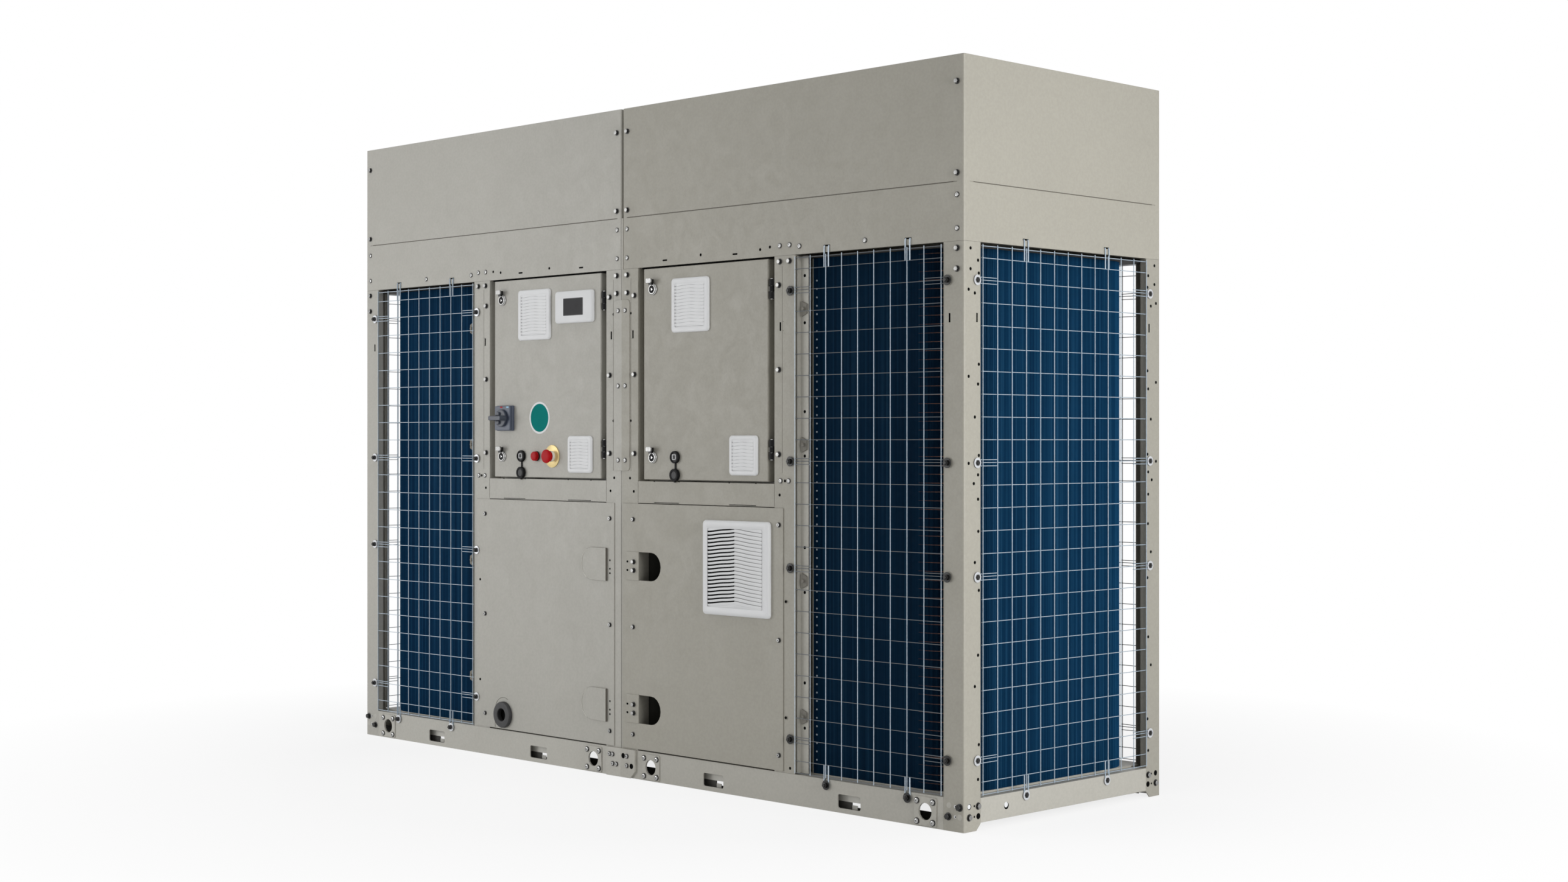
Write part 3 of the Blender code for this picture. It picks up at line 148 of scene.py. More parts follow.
class Shader(Nodes):
    """A material's node tree with one Principled surface."""

    def __init__(self, name):
        self.material = bpy.data.materials.new(name)
        self.material.use_nodes = True
        super().__init__(self.material.node_tree)
        self.surface = self.tree.nodes["Principled BSDF"]
        self.place = self.add("ShaderNodeTexCoord").outputs["Object"]

    def set(self, **values):
        for key, value in values.items():
            self.put(self.surface.inputs[key.replace("_", " ")], value)

    def noise(self, scale, detail=3.0, stretch=None):
        source = self.place
        if stretch:
            source = self.add("ShaderNodeMapping", source, Scale=stretch).outputs["Vector"]
        return self.add("ShaderNodeTexNoise", source, Scale=scale, Detail=detail).outputs["Fac"]

    def ramp(self, factor, stops):
        """Colour ramp from (position, colour) stops."""
        node = self.add("ShaderNodeValToRGB", factor)
        elements = node.color_ramp.elements
        while len(elements) < len(stops):
            elements.new(0.5)
        for element, (position, colour) in zip(elements, stops):
            element.position = position
            element.color = colour
        return node.outputs["Color"]

    def spread(self, factor, low, high, start=0.3, end=0.7):
        node = self.add("ShaderNodeMapRange", factor, start, end, low, high)
        return node.outputs["Result"]

    def multiply(self, factor, first, second):
        node = self.add("ShaderNodeMix", data_type="RGBA", blend_type="MULTIPLY", Factor=factor, A=first, B=second)
        return node.outputs["Result"]

    def relief(self, height, depth, edge=0.0):
        """Bump from a height, over softened edges where a radius is given."""
        node = self.add("ShaderNodeBump", Strength=1.0, Distance=depth, Height=height)
        if edge:
            self.put(node.inputs["Normal"], self.add("ShaderNodeBevel", samples=4, Radius=edge).outputs["Normal"])
        self.set(Normal=node.outputs["Normal"])


def coated(name, colour, roughness, mottle=0.04, mottle_scale=5.0, grain=700.0, grain_depth=0.00008,
           gloss=0.06, edge=0.0, **sockets):
    """Surface whose colour and gloss vary softly, with a fine grain."""
    shader = Shader(name)
    stops = [(0.35, scaled(colour, 1 - mottle)), (0.65, scaled(colour, 1 + mottle))]
    shader.set(Base_Color=shader.ramp(shader.noise(mottle_scale, 5.0), stops),
               Roughness=shader.spread(shader.noise(mottle_scale * 9), roughness - gloss, roughness + gloss),
               **sockets)
    shader.relief(shader.noise(grain, 2.0), grain_depth, edge)
    return shader.material


def painted(name, colour, right_shade_tint=(0.815, 0.800, 0.761)):
    """Powder-coated sheet: orange peel, faint clouds of shade, and patches of differing gloss.

    The right module's paint is darker and warmer than the left one's: painted shade, standing in for the light that
    falls off toward the right.
    """
    shader = Shader(name)
    clouds = shader.ramp(shader.noise(2.2, 6.0), [(0.32, scaled(colour, 0.975)), (0.68, scaled(colour, 1.02))])
    speckle = shader.ramp(shader.noise(150.0, 3.0), [(0.36, (0.94, 0.94, 0.94, 1.0)), (0.64, (1.0,) * 4)])
    across = shader.add("ShaderNodeSeparateXYZ", shader.place).outputs["X"]
    right = shader.add("ShaderNodeMath", across, 0.0, operation="GREATER_THAN").outputs[0]
    patches = shader.add("ShaderNodeTexNoise", shader.place, Scale=14.0, Detail=8.0, Roughness=0.72, Distortion=1.2)
    shader.set(Base_Color=shader.multiply(right, shader.multiply(1.0, clouds, speckle), (*right_shade_tint, 1.0)),
               Roughness=shader.spread(patches.outputs["Fac"], 0.40, 0.60), Specular_IOR_Level=0.45)
    shader.relief(shader.noise(430.0, 2.0), 0.00016, 0.0012)
    return shader.material


def zinc(name, colour, roughness, metallic):
    """Galvanised steel: small spangles of differing shade and gloss."""
    shader = Shader(name)
    tone = shader.add("ShaderNodeTexVoronoi", shader.place, Scale=160.0).outputs["Distance"]
    shader.set(Base_Color=shader.ramp(tone, [(0.0, scaled(colour, 0.86)), (0.7, scaled(colour, 1.08))]),
               Roughness=shader.spread(tone, roughness - 0.05, roughness + 0.08), Metallic=metallic)
    shader.relief(shader.noise(900.0), 0.00005)
    return shader.material


def fin_blue(name, strength):
    """Blue-coated aluminium fins with upright streaks of paler and darker blue."""
    shader = Shader(name)
    stops = [(0.30, linear(9, 50, 83)), (0.52, linear(16, 66, 102)), (0.70, linear(40, 91, 128))]
    stops = [(place, scaled(colour, strength)) for place, colour in stops]
    shader.set(Base_Color=shader.ramp(shader.noise(1.0, 3.0, (150.0, 150.0, 0.6)), stops),
               Roughness=shader.spread(shader.noise(60.0), 0.55, 0.7), Specular_IOR_Level=0.10)
    shader.relief(shader.noise(420.0), 0.0001)
    return shader.material


PAINT = linear(176, 174, 166)
MATERIALS = {
    "panel_paint": painted("panel_paint", PAINT),
    "door_paint": painted("door_paint", scaled(PAINT, 0.985)),
    # Lighter copy of the paint for the base and end rails and the sheets beside the coils: painted light.
    "lit_rail_paint": painted("lit_rail_paint", scaled(PAINT, 1.11), (0.90, 0.895, 0.885)),
    # Darker copy of the paint for the rear corner posts: painted shade.
    "shaded_post_paint": painted("shaded_post_paint", scaled(PAINT, 0.90)),
    "coil_blue": fin_blue("coil_blue", 1.25),
    # Darker copy of the fin blue for the right coil's front fins: painted shade.
    "coil_shaded_blue": fin_blue("coil_shaded_blue", 0.60),
}
for look, colour, roughness, metallic in (
        ("zinc_wire", (190, 203, 215), 0.45, 0.05),
        # Darker copies of the wire zinc for less lit wires: painted shade.
        ("shaded_wire", (158, 172, 184), 0.45, 0.1),
        ("shaded_rear_wire", (84, 90, 95), 0.45, 0.2),
        ("cross_wire", (92, 96, 100), 0.45, 0.3),
        ("bolt_zinc", (140, 140, 139), 0.32, 0.85),
        # Dark copy of the zinc for bolt sides, studs, nuts, foot bolts and latch necks: painted shade.
        ("shaded_zinc", (52, 52, 52), 0.34, 0.9)):
    MATERIALS[look] = zinc(look, linear(*colour), roughness, metallic)
# Look, colour, roughness, mottle and its scale, then what differs from the plain coating
for look, colour, roughness, mottle, mottle_scale, more in (
        ("slit_shadow", (86, 82, 74), 0.8, 0.1, 40, {}),
        # Lighter copy of the paint for ridges, lips and pocket walls: painted light.
        ("highlight_paint", (204, 202, 194), 0.5, 0.05, 40, {}),
        ("fold_shadow", (118, 115, 107), 0.7, 0.1, 40, {}),
        ("coil_shade_core", (10, 22, 34), 0.8, 0.2, 60, {}),
        # Dimmer copper for the glint tubes of the left coil's front bend and of the rear bends: painted glint.
        ("dim_glint_copper", (120, 92, 78), 0.5, 0.2, 30, dict(Metallic=0.2)),
        ("copper", (134, 92, 70), 0.45, 0.18, 30, dict(Metallic=0.3)),
        ("white_plastic", (222, 223, 224), 0.46, 0.012, 5, dict(grain=1400, grain_depth=0.00005, edge=0.0008)),
        ("slit_shade_grey", (118, 118, 117), 0.7, 0.05, 60, {}),
        ("slat_shade_grey", (164, 165, 167), 0.6, 0.03, 60, {}),
        ("dark_plastic", (72, 80, 96), 0.40, 0.06, 30, dict(grain=1500, grain_depth=0.00006, edge=0.0006)),
        ("knob_plastic", (56, 62, 74), 0.38, 0.06, 30, dict(grain=1500, grain_depth=0.00006, edge=0.0006)),
        ("fan_plastic", (44, 46, 48), 0.48, 0.1, 12, {}),
        ("black_rubber", (16, 16, 17), 0.62, 0.12, 40, dict(grain=800, grain_depth=0.00012, Specular_IOR_Level=0.16)),
        ("grey_rubber", (40, 40, 41), 0.60, 0.08, 40, dict(grain=800, grain_depth=0.00012)),
        # Near-black for holes, sockets, slits and gaps: painted shade of their depth.
        ("gap_shade", (12, 12, 12), 0.9, 0.2, 80, dict(Specular_IOR_Level=0.02)),
        # Dark sheet colour for the space behind the pipe holes, the pocket shelves and the coils' tops: painted
        # shade.
        ("shade_sheet", (62, 60, 56), 0.80, 0.12, 24, dict(grain=300, grain_depth=0.0004)),
        # Lighter copy of the zinc for the washers of the better lit guards: painted light.
        ("lit_zinc", (200, 202, 205), 0.34, 0.05, 90, dict(Metallic=0.6)),
        # Dark copy of the paint for the sides behind the pipe holes: painted shade.
        ("hole_side_shade", (84, 83, 76), 0.85, 0.06, 30, {}),
        ("duct_grey", (150, 153, 155), 0.5, 0.03, 40, {}),
        ("device_dark", (58, 60, 64), 0.45, 0.05, 50, {}),
        ("chrome", (168, 168, 167), 0.22, 0.04, 60,
         dict(Metallic=1.0, gloss=0.05, grain=1200, grain_depth=0.00002, edge=0.0006)),
        ("red_plastic", (172, 2, 14), 0.46, 0.08, 40, dict(grain=1500, grain_depth=0.00003, Specular_IOR_Level=0.14)),
        ("red_lens", (172, 2, 16), 0.40, 0.10, 60, dict(grain=200, grain_depth=0.00015, Specular_IOR_Level=0.14)),
        ("yellow_plate", (222, 200, 138), 0.34, 0.03, 40, dict(Metallic=0.30, grain=900, grain_depth=0.00003)),
        ("pale_collar", (214, 210, 204), 0.35, 0.04, 60, {}),
        ("pale_blue", (150, 196, 222), 0.5, 0.03, 60, {}),
        ("teal_label", (0, 121, 116), 0.60, 0.04, 30, dict(grain=1200, grain_depth=0.00002, Specular_IOR_Level=0.05)),
        ("screen_glass", (66, 66, 67), 0.60, 0.05, 20,
         dict(gloss=0.03, grain=60, grain_depth=0.00002, Specular_IOR_Level=0.06)),
        ("cast_grey", (96, 98, 100), 0.5, 0.08, 30, dict(Metallic=0.4, grain=500, grain_depth=0.0002))):
    MATERIALS[look] = coated(look, linear(*colour), roughness, mottle, mottle_scale, **more)


# ---- Mesh helpers: a face's local frame is (right, up, outward) ----

WORLD = Matrix.Identity(4)


def face_frame(origin, right=(1, 0, 0), up=(0, 0, 1)):
    right, up = Vector(right), Vector(up)
    matrix = Matrix((right, up, right.cross(up))).transposed().to_4x4()
    matrix.translation = Vector(origin) / 1000
    return matrix


FACES = {
    "front": face_frame((0, FRONT, 0)),
    "rear": face_frame((0, REAR, 0), (-1, 0, 0)),
    "right": face_frame((HALF_WIDTH, 0, 0), (0, 1, 0)),
    "left": face_frame((-HALF_WIDTH, 0, 0), (0, -1, 0)),
}
FRONT_FACE = FACES["front"]


def upward(x, y, z):
    """Frame whose outward axis points up."""
    return face_frame((x, y, z), (1, 0, 0), (0, 1, 0))


def at(matrix, u, v, w=0.0):
    return matrix @ Matrix.Translation(Vector((u, v, w)) / 1000)


def seat(key, u, v, base, height):
    """Frame for a fitting of a height over a face; away from the front it is flattened to stay in the frame's box."""
    share = 1.0 if key == "front" else min(1.0, (OUTER_REACH - base) / height)
    return at(FACES[key], u, v, base) @ Matrix.Diagonal((1.0, 1.0, share, 1.0))


def meshes(count):
    return [bmesh.new() for _ in range(count)]


def ring(bm, matrix, outline, w):
    """Vertices along an outline at a height over a face."""
    return [bm.verts.new(matrix @ (Vector((u, v, w)) / 1000)) for u, v in outline]


def skin(bm, rings, capped=False):
    """Faces between closed rings of vertices, with both ends shut where capped."""
    for near, far in zip(rings, rings[1:]):
        for i in range(len(near)):
            bm.faces.new((near[i - 1], near[i], far[i], far[i - 1]))
    if capped:
        bm.faces.new(rings[0][::-1])
        bm.faces.new(rings[-1])


def append(bm, part, matrix):
    bmesh.ops.recalc_face_normals(part, faces=part.faces)
    bmesh.ops.transform(part, matrix=matrix, verts=part.verts)
    mesh = bpy.data.meshes.new("part")
    part.to_mesh(mesh)
    part.free()
    bm.from_mesh(mesh)
    bpy.data.meshes.remove(mesh)


def add_prism(bm, matrix, outline, w0, w1, holes=()):
    """Flat outline with holes in a face's frame, from one height above it to another."""
    part = bmesh.new()
    edges = []
    for loop in (outline, *holes):
        verts = ring(part, WORLD, loop, w0)
        edges += [part.edges.new((verts[i - 1], verts[i])) for i in range(len(verts))]
    bmesh.ops.triangle_fill(part, use_beauty=True, edges=edges)
    top = bmesh.ops.extrude_face_region(part, geom=part.faces[:])
    moved = [item for item in top["geom"] if isinstance(item, bmesh.types.BMVert)]
    bmesh.ops.translate(part, verts=moved, vec=(0, 0, (w1 - w0) / 1000))
    bmesh.ops.dissolve_limit(part, angle_limit=0.001, verts=part.verts, edges=part.edges)
    append(bm, part, matrix)


def add_wedge(bm, matrix, outline, u0, u1, w_low, w_high):
    """Flat cover that rises from one side to the other."""
    part = bmesh.new()
    top = [part.verts.new((u / 1000, v / 1000, (w_low + (w_high - w_low) * (u - u0) / (u1 - u0)) / 1000))
           for u, v in outline]
    skin(part, [ring(part, WORLD, outline, 0.0), top], True)
    append(bm, part, matrix)


def add_box(bm, matrix, u0, u1, v0, v1, w0, w1):
    part = bmesh.new()
    bmesh.ops.create_cube(part, size=0.001)
    middle = Vector((u0 + u1, v0 + v1, w0 + w1)) / 2000
    size = Matrix.Diagonal((u1 - u0, v1 - v0, w1 - w0, 1))
    bmesh.ops.transform(part, matrix=Matrix.Translation(middle) @ size, verts=part.verts)
    append(bm, part, matrix)


def add_plate(bm, matrix, half_u, half_v, w0, w1):
    add_box(bm, matrix, -half_u, half_u, -half_v, half_v, w0, w1)


def add_turned(bm, matrix, profile, segments=24):
    """Shape turned about the frame's outward axis from (radius, height) points."""
    part = bmesh.new()
    rings = [ring(part, WORLD, circle(radius, segments) if radius else [(0, 0)], height)
             for radius, height in profile]
    for low, high in zip(rings, rings[1:]):
        for i in range(segments if len(low) + len(high) > 2 else 0):
            corners = (low[(i - 1) % len(low)], low[i % len(low)], high[i % len(high)], high[(i - 1) % len(high)])
            part.faces.new(list(dict.fromkeys(corners)))
    append(bm, part, matrix)


def add_disc(bm, matrix, radius, segments):
    add_turned(bm, matrix, [(radius, 0), (0, 0)], segments)


def add_barrel(bm, matrix, radius, low, high, segments):
    add_turned(bm, matrix, [(0, low), (radius, low), (radius, high), (0, high)], segments)


def add_tube(bm, matrix, points, radius, sides=8, closed=False):
    """Wire of one thickness along points in a frame."""
    points = [matrix @ (Vector(point) / 1000) for point in points]
    rings, side = [], None
    for i, point in enumerate(points):
        before = points[i - 1] if i or closed else point
        after = points[(i + 1) % len(points)] if i < len(points) - 1 or closed else point
        along = (after - before).normalized()
        if side is None:
            side = along.orthogonal().normalized()
        side = (side - along * side.dot(along)).normalized()
        other = along.cross(side)
        rings.append([bm.verts.new(point + side * u / 1000 + other * v / 1000) for u, v in circle(radius, sides)])
    skin(bm, rings + rings[:1] if closed else rings, not closed)


def circle(radius, segments, u=0.0, v=0.0, first=0, last=None):
    """Points round a circle, or from one of its steps to another."""
    steps = range(first, segments if last is None else last + 1)
    return [(u + radius * math.cos(2 * math.pi * i / segments), v + radius * math.sin(2 * math.pi * i / segments))
            for i in steps]


def rounded(half_u, half_v, radius, steps=5, u=0.0, v=0.0):
    """Rectangle with round corners."""
    points = []
    for quarter, (right, up) in enumerate(((1, 1), (-1, 1), (-1, -1), (1, -1))):
        points += circle(radius, 4 * steps, u + right * (half_u - radius), v + up * (half_v - radius),
                         quarter * steps, (quarter + 1) * steps)
    return points


def piece(name, bm, slot, look=None, body="cabinet", replaces=(), soften=0.0, angle=35):
    """Object of a finished mesh that rides on a body, with the material of its look, or else of its slot name."""
    mesh = bpy.data.meshes.new(name)
    bm.normal_update()
    bm.to_mesh(mesh)
    bm.free()
    mesh.shade_smooth()
    mesh.set_sharp_from_angle(angle=math.radians(angle))
    mesh.materials.append(MATERIALS[look or slot])
    thing = bpy.data.objects.new(name, mesh)
    bpy.context.scene.collection.objects.link(thing)
    if soften:
        bevel = thing.modifiers.new("bevel", "BEVEL")
        bevel.width = soften / 1000
        bevel.segments = 2
        bevel.limit_method = "ANGLE"
        bevel.angle_limit = math.radians(40)
    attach(thing, body)
    if replaces:
        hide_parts(*replaces)
    return thing


# ---- Fasteners, as (right, up) on a face ----

def mirrored(*points):
    return [(side * u, v) for side in (-1, 1) for u, v in points]


BOLT_HEADS = mirrored((1235, 1813), (1235, 1592), (22.5, 1813), (22.5, 1592), (1235, 1410), (1235, 1360),
                      (664.5, 1412), (629, 1412), (22.5, 1410), (22.5, 1360), (625.5, 1351), (625.5, 1130),
                      (625.5, 909), (53, 1351), (53, 1130), (53, 909))
PAN_HEADS = mirrored((1235, 1539), (1235, 1458), (21.5, 1539), (21.5, 1458), (932, 1448), (701, 1448),
                     (665, 1453.5), (629, 1453.5), (632, 840), (662, 840))
STRAP_HEADS = mirrored((15, 1311), (15, 1099), (15, 890))
PANEL_HEADS = mirrored((628, 725), (628, 424), (628, 124), (50, 725), (50, 424), (50, 124))
SMALL_HOLES = mirrored((592, 1452.5), (555.5, 1448), (325, 1448), (37.5, 1302), (37.5, 1001), (34, 840),
                       (648, 840), (628, 803), (50, 803), (653, 526), (653, 224), (666.5, 94))
POST_HOLES = ((24.5, 1410), (52.5, 1382), (24.5, 1360), (17.5, 1310), (40.5, 1302), (55.5, 1351), (55.5, 1130),
              (17.5, 1100), (52.5, 1082), (40.5, 1002), (55.5, 909), (17.5, 890), (52.5, 862), (36.5, 841),
              (52.5, 803), (53.5, 725), (40.5, 650), (55.5, 582), (52.5, 425), (40.5, 350), (55.5, 208), (52.5, 124))
HOOD_SLOTS = mirrored((459.5, 1442), (180, 1442))
POST_SLOTS = mirrored((1211, 1242.5), (631, 1242.5), (46.5, 1242.5))


class Heads:
    """Bolt and screw heads whose sides are painted dark as shade and whose faces are painted bright as a highlight.
    """

    def __init__(self):
        self.sides, self.faces, self.domes = meshes(3)

    def hexagon(self, matrix, across=10.5, height=7.5):
        flange = across * 0.74
        radius = across / math.sqrt(3)
        add_turned(self.sides, matrix, [(0, 0), (flange, 0), (flange, 1.2), (across * 0.56, 2.2), (0, 2.2)], 20)
        add_barrel(self.sides, matrix, radius, 2, height - 1, 6)
        add_turned(self.faces, matrix, [(0, height - 1.2), (radius * 1.01, height - 1.2), (radius * 0.90, height),
                                        (0, height + 0.2)], 6)

    def pan(self, matrix, radius=6.8, height=3.4):
        add_barrel(self.sides, matrix, radius, 0, height * 0.45, 20)
        dome = ((0.80, 0.44), (0.74, 0.78), (0.55, 1.0), (0.36, 1.0), (0.34, 0.5), (0, 0.5))
        add_turned(self.domes, matrix, [(radius * across, height * up) for across, up in dome], 20)

    def finish(self, name, cap_look="bolt_zinc"):
        piece(name + "_sides", self.sides, "chrome", "shaded_zinc")
        if self.domes.verts:
            piece(name + "_domes", self.domes, "chrome")
        if self.faces.verts:
            piece(name + "_caps", self.faces, "chrome", cap_look)


def fasteners():
    heads, holes, sockets = Heads(), *meshes(2)
    for key in LONG_FACES:
        face = FACES[key]
        for u, v in BOLT_HEADS:
            heads.hexagon(seat(key, u, v, 0.0, 7.7))
        for points, lift in ((PAN_HEADS, 0), (STRAP_HEADS, 2)):
            for u, v in points:
                heads.pan(at(face, u, v, lift))
                add_disc(sockets, at(face, u, v, lift + 1.2), 2.3, 6)
        for u, v in PANEL_HEADS:
            place = seat(key, u, v, 2.2, 5.8)
            heads.hexagon(place, 9, 5.5)
            add_disc(sockets, at(place, 0, 0, 5.7), 1.6, 8)
        for u, v in SMALL_HOLES:
            on_panel = v < BASE_TOP + 690 and abs(u) < 660
            add_disc(holes, at(face, u, v, 2.4 if on_panel else 0.1), 4, 14)
        for u, v in HOOD_SLOTS:
            add_prism(holes, at(face, u, v), rounded(9.5, 2.2, 2, 2), 0.0, 0.15)
        for u, v in POST_SLOTS:
            add_plate(holes, at(face, u, v), 2.6, 11.3, 0.0, 0.15)
    for key, near in ENDS:
        for edge, inward in EDGES:
            for distance, v in POST_HOLES:
                add_disc(holes, at(FACES[key], (edge + inward * distance) * near, v, 0.1), 4.2, 14)
            add_plate(holes, at(FACES[key], (edge + inward * 48.5) * near, 1243), 2.6, 11.3, 0.0, 0.15)
    heads.finish("panel_heads")
    piece("screw_sockets", sockets, "black_rubber", "gap_shade")
    piece("punched_holes", holes, "black_rubber", "gap_shade")


fasteners()


# ---- Base rails: plates round the lifting holes, joint bolts and foot bolts ----

RING_PLATES = (-1134, -123, 123, 1134)
RING_PLATE_Z = 38
RING_PLATE_HALF = 36
JOINT_BOLTS = ((-47, 60.5), (-33, 60.5), (27.5, 60.5), (-33, 34), (-17, 34), (27.5, 34))
JOINT_HOLES = ((11.5, 60.5), (46.5, 34))


def base_fittings():
    plates, holes, pale = meshes(3)
    heads, foot = Heads(), Heads()
    for key in LONG_FACES:
        face = FACES[key]
        for u in RING_PLATES:
            outline = rounded(RING_PLATE_HALF, RING_PLATE_HALF - 0.5, 4, 3, u, RING_PLATE_Z + 0.5)
            add_prism(plates, face, outline, 0.2, 2.8, [circle(21.2, 28, u, RING_PLATE_Z)])
            for du in (-26, 26):
                for dv in (-25, 25):
                    heads.pan(seat(key, u + du, RING_PLATE_Z + dv, 2.8, 4.6), 7.8, 4.5)
        for u, v in JOINT_BOLTS:
            heads.pan(seat(key, u, v, 6, 4.9), 6.6, 4.8)
        for u, v in JOINT_HOLES:
            add_disc(holes, at(face, u, v, 6.2), 7.5, 20)
        for u, v in mirrored((1243, 60), (1207, 35)):
            foot.hexagon(seat(key, u, v, 0, 9.3), 13, 9)
        for u, v in mirrored((1228.5, 61), (1228.5, 36)):
            add_disc(pale, at(face, u, v, 0.1), 3.6, 14)
            add_disc(holes, at(face, u + 1.2, v, 0.2), 2, 14)
        for u, v in mirrored((1209, 62), (1243, 36)):
            add_turned(plates, at(face, u, v), [(7.5, 0), (7.5, 0.3), (0, 0.3)], 24)
    for key, near in ENDS:
        face = FACES[key]
        for edge, inward in EDGES:
            for distance, v, radius in ((19.5, 61, 7.2), (53.5, 35, 7.5), (38.5, 61, 2.8), (38.5, 35, 2.8)):
                add_disc(holes, at(face, (edge + inward * distance) * near, v, 0.1), radius, 20)
            for distance, v in ((52.5, 59.5), (19.5, 35)):
                heads.hexagon(seat(key, (edge + inward * distance) * near, v, 0, 8.8), 12, 8.5)
        u = ((FRONT + REAR) / 2 - 242) * near
        add_disc(holes, at(face, u, 48, 0.1), 9, 24)
        add_disc(pale, at(face, u - 1.2, 50.5, 0.2), 6.8, 24)
        add_disc(pale, at(face, (FRONT + 18.5) * near, 61.5, 0.2), 5.6, 20)
    piece("lifting_hole_plates", plates, "panel_paint", "lit_rail_paint", soften=0.6)
    heads.finish("base_heads")
    # The foot bolts' faces take the dark zinc too: painted shade.
    foot.finish("foot_heads", "shaded_zinc")
    piece("base_hole_lights", pale, "white_plastic")
    piece("base_holes", holes, "black_rubber", "gap_shade")


def lifting_pockets():
    """Folded sheets behind the sling slots and round holes that close the view under the pan: the walls painted pale
    as light, the shelves painted dark as shade.
    """
    walls, shelves = meshes(2)
    for key in LONG_FACES:
        for u in (-877, -375, 375, 877):
            face = at(FACES[key], u, 0)
            add_box(walls, face, -70, 45, 27, 50, -20, -18.5)
            add_box(shelves, face, -70, 60, 7.5, 9, -49, -4)
            add_box(shelves, face, -70, -6, 9, 27, -20, -18.5)
            add_box(walls, face, -6, 12, 9, 20, -20, -18.5)
        for u in RING_PLATES:
            add_box(shelves, FACES[key], u - 90, u + 10, 6, 28, -50.5, -49)
    piece("lifting_pocket_walls", walls, "panel_paint", "highlight_paint")
    piece("lifting_pocket_shelves", shelves, "panel_paint", "shade_sheet")


base_fittings()
lifting_pockets()


# ---- Lower panels: pipe-hole covers, knock-outs and the grommet ----

KNOCKOUT_RADIUS, KNOCKOUT_CENTRE, KNOCKOUT_EDGE = 46.5, -128, -62.5


def lower_panel_fittings():
    face = at(FRONT_FACE, 0, 0, FRONT - PANEL_FACE)
    covers, holes, ridges, grooves, rubber, hollow = meshes(6)
    heads = Heads()

    def groove(bm, points, height, radius):
        add_tube(bm, face, [(u, v, height) for u, v in points], radius, 6)

    for level in PIPE_LEVELS:
        add_box(covers, face, 24.5, 75.5, level - 39.5, level + 39.5, 0, 2.8)
        for dv in (-12, 12):
            heads.hexagon(at(face, 55.5, level + dv, 2.8), 9.8, 8)
            add_prism(holes, at(face, 28.5, level + dv, 2.8), rounded(4, 2.8, 2.6, 3), 0.0, 0.1)
        low, high = level - KNOCKOUT_RADIUS, level + KNOCKOUT_RADIUS
        arc = circle(KNOCKOUT_RADIUS, 24, KNOCKOUT_CENTRE, level, 6, 18)
        outline = [(KNOCKOUT_EDGE, high), *arc, (KNOCKOUT_EDGE, low)]
        add_wedge(covers, face, outline, KNOCKOUT_CENTRE - KNOCKOUT_RADIUS, KNOCKOUT_EDGE, 0.4, 5.2)
        for dv in (12, -12, -24.5):
            add_disc(holes, at(face, -50, level + dv, 0.1), 3, 14)
        groove(ridges, arc[2:11], 1.2, 0.7)
        groove(grooves, outline[:4], 1.0, 0.4)
        groove(grooves, outline[-4:], 1.0, 0.4)
        add_box(grooves, face, -62.7, -61.2, low, high, 0.4, 5.6)
    low, high = box("cable_grommet")
    x, z = (low.x + high.x) / 2, (low.z + high.z) / 2
    groove(grooves, [(x - 43, BASE_TOP + 6), *circle(41, 30, x - 2, z + 10, 5, 15)[::-1]], 0.2, 0.5)
    # Ridges round the knock-outs in the lighter paint: painted highlight.
    piece("knockout_ridges", ridges, "panel_paint", "highlight_paint")
    piece("knockout_grooves", grooves, "panel_paint", "slit_shadow")
    piece("pipe_hole_covers", covers, "panel_paint", soften=0.4)
    heads.finish("pipe_cover_heads")
    piece("pipe_cover_holes", holes, "black_rubber", "gap_shade")
    add_turned(hollow, at(face, x, z), [(18.9, -3), (0, -3)], 32)
    piece("grommet_hollow", hollow, "black_rubber", "gap_shade")
    profile = [(19, -8), (19, 10.5), (20.5, 12), (30, 12.2), (37.2, 11.2), (38.8, 8.8), (39, 0.4), (30.7, 0.4),
               (30.7, -8), (19, -8)]
    add_turned(rubber, at(face, x, z), profile, 48)
    piece("grommet_ring", rubber, "black_rubber", "grey_rubber", replaces=["cable_grommet"])


lower_panel_fittings()


# ---- Coils: fins, tubes, dark core and end plates ----

def coil_path(side, depth, step):
    """Points and outward directions along a coil at a depth behind its outer face."""
    end, start = HALF_WIDTH - COIL_SETBACK, PARTITION + 24
    front, rear = FRONT + COIL_SETBACK, REAR - COIL_SETBACK
    radius = COIL_BEND - COIL_DEPTH / 2
    leg, arc, straight = end - COIL_BEND - start, math.pi / 2 * radius, rear - front - 2 * COIL_BEND
    spans = (leg, arc, straight, arc, leg)
    total = sum(spans)
    count = int(total / step)
    points = []
    for i in range(count + 1):
        s = total * i / count
        for index, length in enumerate(spans):
            if s <= length or index == 4:
                break
            s -= length
        if index == 0:
            base, out = Vector((start + s, front)), Vector((0, -1))
        elif index in (1, 3):
            turn = (-math.pi / 2 if index == 1 else 0) + s / radius
            out = Vector((math.cos(turn), math.sin(turn)))
            centre = Vector((end - COIL_BEND, front + COIL_BEND if index == 1 else rear - COIL_BEND))
            base = centre + out * COIL_BEND
        elif index == 2:
            base, out = Vector((end, front + COIL_BEND + s)), Vector((1, 0))
        else:
            base, out = Vector((end - COIL_BEND - s, rear)), Vector((0, 1))
        point = base - out * depth
        points.append((Vector((side * point.x, point.y)), Vector((side * out.x, out.y))))
    return points


def levels_down(start, end, step):
    """Levels of the tubes from the top one down."""
    level = start
    while level > end:
        yield level
        level -= step


